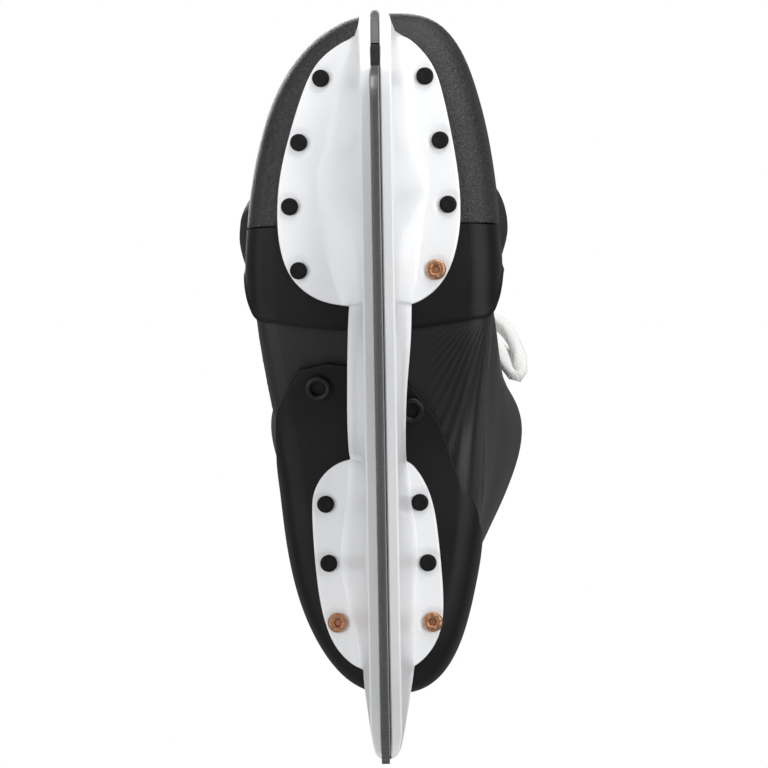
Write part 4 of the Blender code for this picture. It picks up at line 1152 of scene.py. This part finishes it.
def band(name, path, normals, sizes, sides=16):
    """A lace along path: a flattened round section, sizes gives (width, thickness) at each point."""
    bm = bmesh.new()
    uv_layer = bm.loops.layers.uv.new("weave")
    rings = []
    travelled = [0.0]
    for a, b in zip(path, path[1:]):
        travelled.append(travelled[-1] + (b - a).length)
    for i, point in enumerate(path):
        run = (path[min(i + 1, len(path) - 1)] - path[max(i - 1, 0)]).normalized()
        across = run.cross(normals[i]).normalized()
        up = across.cross(run)
        width, thick = sizes[i]
        ring = []
        for k in range(sides):
            a = 2 * math.pi * k / sides
            u = math.copysign(abs(math.cos(a)) ** 0.75, math.cos(a))
            v = math.copysign(abs(math.sin(a)) ** 0.75, math.sin(a))
            ring.append(bm.verts.new((point + across * u * width / 2 + up * v * thick / 2) * MM))
        rings.append(ring)
    for i, (a, b) in enumerate(zip(rings, rings[1:])):
        for k in range(sides):
            j = (k + 1) % sides
            face = bm.faces.new((a[k], a[j], b[j], b[k]))
            ends = ((k, i), (k + 1, i), (k + 1, i + 1), (k, i + 1))
            for loop, (around, row) in zip(face.loops, ends):
                u = LACE_WIDTH * (0.5 - 0.5 * math.cos(2 * math.pi * around / sides))
                loop[uv_layer].uv = (u * MM, travelled[row] * MM)
    bm.faces.new(rings[0][::-1])
    bm.faces.new(rings[-1])
    bmesh.ops.recalc_face_normals(bm, faces=bm.faces)
    return new_piece(name, bm), travelled[-1]


def make_laces():
    """Two laces that zigzag over the tongue and dip into an eyelet at every turn."""
    dips = (("lace_under", 1, ((0.0, 3.4), (0.5, 2.2), (0.8, -0.9), (0.93, -1.7), (1.0, -0.6))),
            ("lace_over", -1, ((0.0, -1.2), (0.5, -1.2), (0.8, -1.4), (0.93, -2.0), (1.0, -0.6))))
    pitch = (EYELET_LAST - EYELET_FIRST) / (EYELETS - 1)
    for name, side, dip in dips:
        path, normals, sizes = [], [], []
        for index in range(EYELETS - 1):
            for across in steps(1.0, 3, 0.8, 14, -0.8, 3, -1.0)[:-1]:
                level = EYELET_FIRST + pitch * (index + (1.0 - across) / 2)
                half = max(0.01, (throat_half(level) + EYELET_FROM_EDGE) * abs(across))
                facing = side if across >= 0 else -side
                here, normal = surface_frame(level, turn_at_half(level, half) * facing)
                path.append(here - normal * linear(dip, abs(across)))
                normals.append(normal)
                opened = 1.0 - smoothstep(0.62, 0.95, abs(across))
                sizes.append((3.2 + (LACE_WIDTH - 3.2) * opened, 2.4 + (LACE_THICK - 2.4) * opened))
            side = -side
        obj, length = band(name + "_across", path, normals, sizes)
        stand_for(obj, "white_lace", "skate", name)


def make_bow():
    """Knot on the tongue and a loop to each side; the big-toe one hangs over the quarter."""
    here, normal = surface_frame(EYELET_LAST - 1.0, 0.0)
    knot = here - normal * KNOT_DEPTH
    for name, offsets in (("bow_loop_medial", BOW_MEDIAL), ("bow_loop_lateral", BOW_LATERAL)):
        path = smooth_route([knot + Vector(p) for p in offsets], 2.0)
        normals, sizes = [], []
        for i in range(len(path)):
            part = i / (len(path) - 1)
            roll = math.radians(50.0) * math.sin(2 * math.pi * part)
            normals.append(Vector((0.25 * math.sin(roll), -math.cos(roll), math.sin(roll))).normalized())
            puffed = smoothstep(0.0, 0.12, part) * (1.0 - smoothstep(0.88, 1.0, part))
            ripple = 0.25 * math.sin(part * 60.0)
            sizes.append((4.4 + 3.2 * puffed + ripple, 2.6 + (BOW_THICK - 2.6) * puffed))
        obj, length = band(name + "_lace", path, normals, sizes)
        stand_for(obj, "white_lace", "skate", name)
    path, normals, sizes = [], [], []
    turns = 2.25
    for i in range(81):
        angle = 2 * math.pi * turns * i / 80
        out = Vector((0.0, -math.cos(angle), math.sin(angle)))
        path.append(knot + Vector((-4.4 + 8.8 * i / 80, out.y * 3.3, out.z * 3.0)))
        normals.append(out)
        sizes.append((6.0, 2.3))
    wraps, _ = band("knot_wraps", path, normals, sizes)
    stand_for(wraps, "white_lace", "skate", "lace_knot")
    core_path = [knot + Vector((x, 0.0, 0.0)) for x in steps(-8.0, 16, 8.0)]
    core, _ = band("knot_core", core_path, [Vector((0.0, -1.0, 0.0))] * 17, [(5.2, 4.8)] * 17)
    stand_for(core, "white_lace", "skate", "lace_knot")


def make_footbed():
    """Removable insole with rounded edges, lying on the shell's floor."""
    bm = bmesh.new()
    rows = []
    for y in steps(FOOTBED_TOE, 60, FOOTBED_HEEL):
        turn = turn_at_y(FOOTBED_LEVEL, y)
        inset = 14.0 + 4.0 * smoothstep(80.0, 110.0, y) + 6.0 * smoothstep(-60.0, -70.0, y)
        right = form(FOOTBED_LEVEL, turn).x - inset
        left = form(FOOTBED_LEVEL, -turn).x + inset
        low = sole_z(y) + SHELL_DEPTH + SHELL + FOOTBED_GAP
        top = low + FOOTBED_THICK
        rows.append([bm.verts.new(Vector((x, y, z)) * MM)
                     for x, z in ((right, low), (right, top), ((left + right) / 2, top - FOOTBED_DISH),
                                  (left, top), (left, low))])
    join_rows(bm, rows)
    bmesh.ops.recalc_face_normals(bm, faces=bm.faces)
    return edge_bevel(new_piece("insole", bm, 40.0), 1.2, 3)


def make_spring():
    """Fine wire for the lock spring, in the CAD coil's place."""
    low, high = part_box("lock_spring")
    middle = (low + high) / 2 / MM
    turns, count = 4, 96
    path, normals = [], []
    for i in range(count + 1):
        angle = 2 * math.pi * turns * i / count
        out = Vector((math.cos(angle), math.sin(angle), 0.0))
        z = low.z / MM + 0.3 + ((high.z - low.z) / MM - 0.6) * i / count
        path.append(Vector((middle.x, middle.y, z)) + out * 1.1)
        normals.append(out)
    wire, _ = band("spring_wire", path, normals, [(0.56, 0.56)] * (count + 1), 10)
    return wire


def make_camera():
    data = bpy.data.cameras.new("camera")
    data.lens = CAMERA_LENS
    data.clip_start = 0.01
    camera = bpy.data.objects.new("camera", data)
    bpy.context.scene.collection.objects.link(camera)
    place = Vector(CAMERA_PLACE)
    forward = (Vector(CAMERA_AIM) - place).normalized()
    right = forward.cross(Vector(CAMERA_UP)).normalized()
    up = right.cross(forward)
    matrix = Matrix((right, up, -forward)).transposed().to_4x4()
    matrix.translation = place
    camera.matrix_world = matrix
    bpy.context.scene.camera = camera
    return camera


def area_light(name, place, aim, size, power):
    data = bpy.data.lights.new(name, "AREA")
    data.shape = "DISK"
    data.size = size
    data.energy = power
    light = bpy.data.objects.new(name, data)
    bpy.context.scene.collection.objects.link(light)
    light.location = place
    direction = Vector(aim) - Vector(place)
    light.rotation_mode = "QUATERNION"
    light.rotation_quaternion = direction.to_track_quat("-Z", "Y")
    return light


def mix_into(tree, factor, first, second, output):
    """Mix two shaders by a factor, into the output node's surface."""
    mix = tree.nodes.new("ShaderNodeMixShader")
    for index, source in enumerate((factor, first, second)):
        tree.links.new(source, mix.inputs[index])
    tree.links.new(mix.outputs["Shader"], tree.nodes[output].inputs["Surface"])


def make_world():
    """White backdrop to the eye, and a dimmer, even fill as light."""
    world = bpy.data.worlds.new("studio")
    world.use_nodes = True
    tree = world.node_tree
    fill = tree.nodes["Background"]
    fill.inputs["Color"].default_value = (1.0, 1.0, 1.0, 1.0)
    fill.inputs["Strength"].default_value = WORLD_FILL
    backdrop = tree.nodes.new("ShaderNodeBackground")
    backdrop.inputs["Color"].default_value = (1.0, 1.0, 1.0, 1.0)
    seen = tree.nodes.new("ShaderNodeLightPath")
    mix_into(tree, seen.outputs["Is Camera Ray"], fill.outputs["Background"],
             backdrop.outputs["Background"], "World Output")
    bpy.context.scene.world = world
    bpy.context.scene.view_settings.view_transform = "Standard"


def make_floor():
    """Pale floor, lit and seen from above only, so the view from below passes through it."""
    bm = bmesh.new()
    size = 1.6
    for x, y in ((-size, -size), (size, -size), (size, size), (-size, size)):
        bm.verts.new((x, y, -0.0005))
    bm.faces.new(bm.verts[:])
    floor = new_piece("floor", bm)
    material = bpy.data.materials.new("pale_floor")
    material.use_nodes = True
    tree = material.node_tree
    shader = tree.nodes["Principled BSDF"]
    shader.inputs["Base Color"].default_value = (0.86, 0.86, 0.86, 1.0)
    shader.inputs["Roughness"].default_value = 0.7
    clear = tree.nodes.new("ShaderNodeBsdfTransparent")
    facing = tree.nodes.new("ShaderNodeNewGeometry")
    mix_into(tree, facing.outputs["Backfacing"], shader.outputs["BSDF"], clear.outputs["BSDF"],
             "Material Output")
    floor.data.materials.append(material)
    floor.visible_shadow = False


def main():
    make_camera()
    make_laces()
    make_bow()
    make_world()
    make_floor()
    for light in LIGHTS:
        area_light(*light)

    slots = {part["node"]: part["material_slot"] for part in frame["record"]["subparts"]}
    for node, obj in NODES.items():
        dress(obj, slots[node])

    stand_for(make_toe_cap(), "grained_black_plastic", "skate", "toe_cap")
    stand_for(make_forefoot_outsole(), "satin_black_plastic", "skate", "forefoot_outsole")
    stand_for(make_heel_outsole(), "satin_black_plastic", "skate", "heel_outsole")
    stand_for(make_shell(), "carbon_weave", "skate", "boot_shell")
    stand_for(make_liner(), "grey_lining", "skate", "ankle_liner")
    stand_for(make_collar(), "grey_lining", "skate", "collar_padding")
    stand_for(make_guard(), "satin_black_plastic", "rear_guard", "tendon_guard")
    stand_for(make_tongue(), "white_felt", "skate", "tongue_lower")
    stand_for(make_flap(), "white_felt", "front_flap", "tongue_flap")
    stand_for(make_holder(), "white_nylon", "skate", "blade_holder")
    stand_for(make_runner(), "ground_steel", "steel_runner", "runner")
    stand_for(make_footbed(), "grey_lining", "skate", "footbed")
    spring = stand_for(make_spring(), "ground_steel", "skate", "lock_spring")
    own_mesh(spring)
    edge_bevel(NODES["toe_lock"], 0.3, 3)
    edge_bevel(NODES["nose_hook"], 0.3, 3)
    make_rivets()
    make_eyelets()
    make_stitches()
    make_vents()


main()
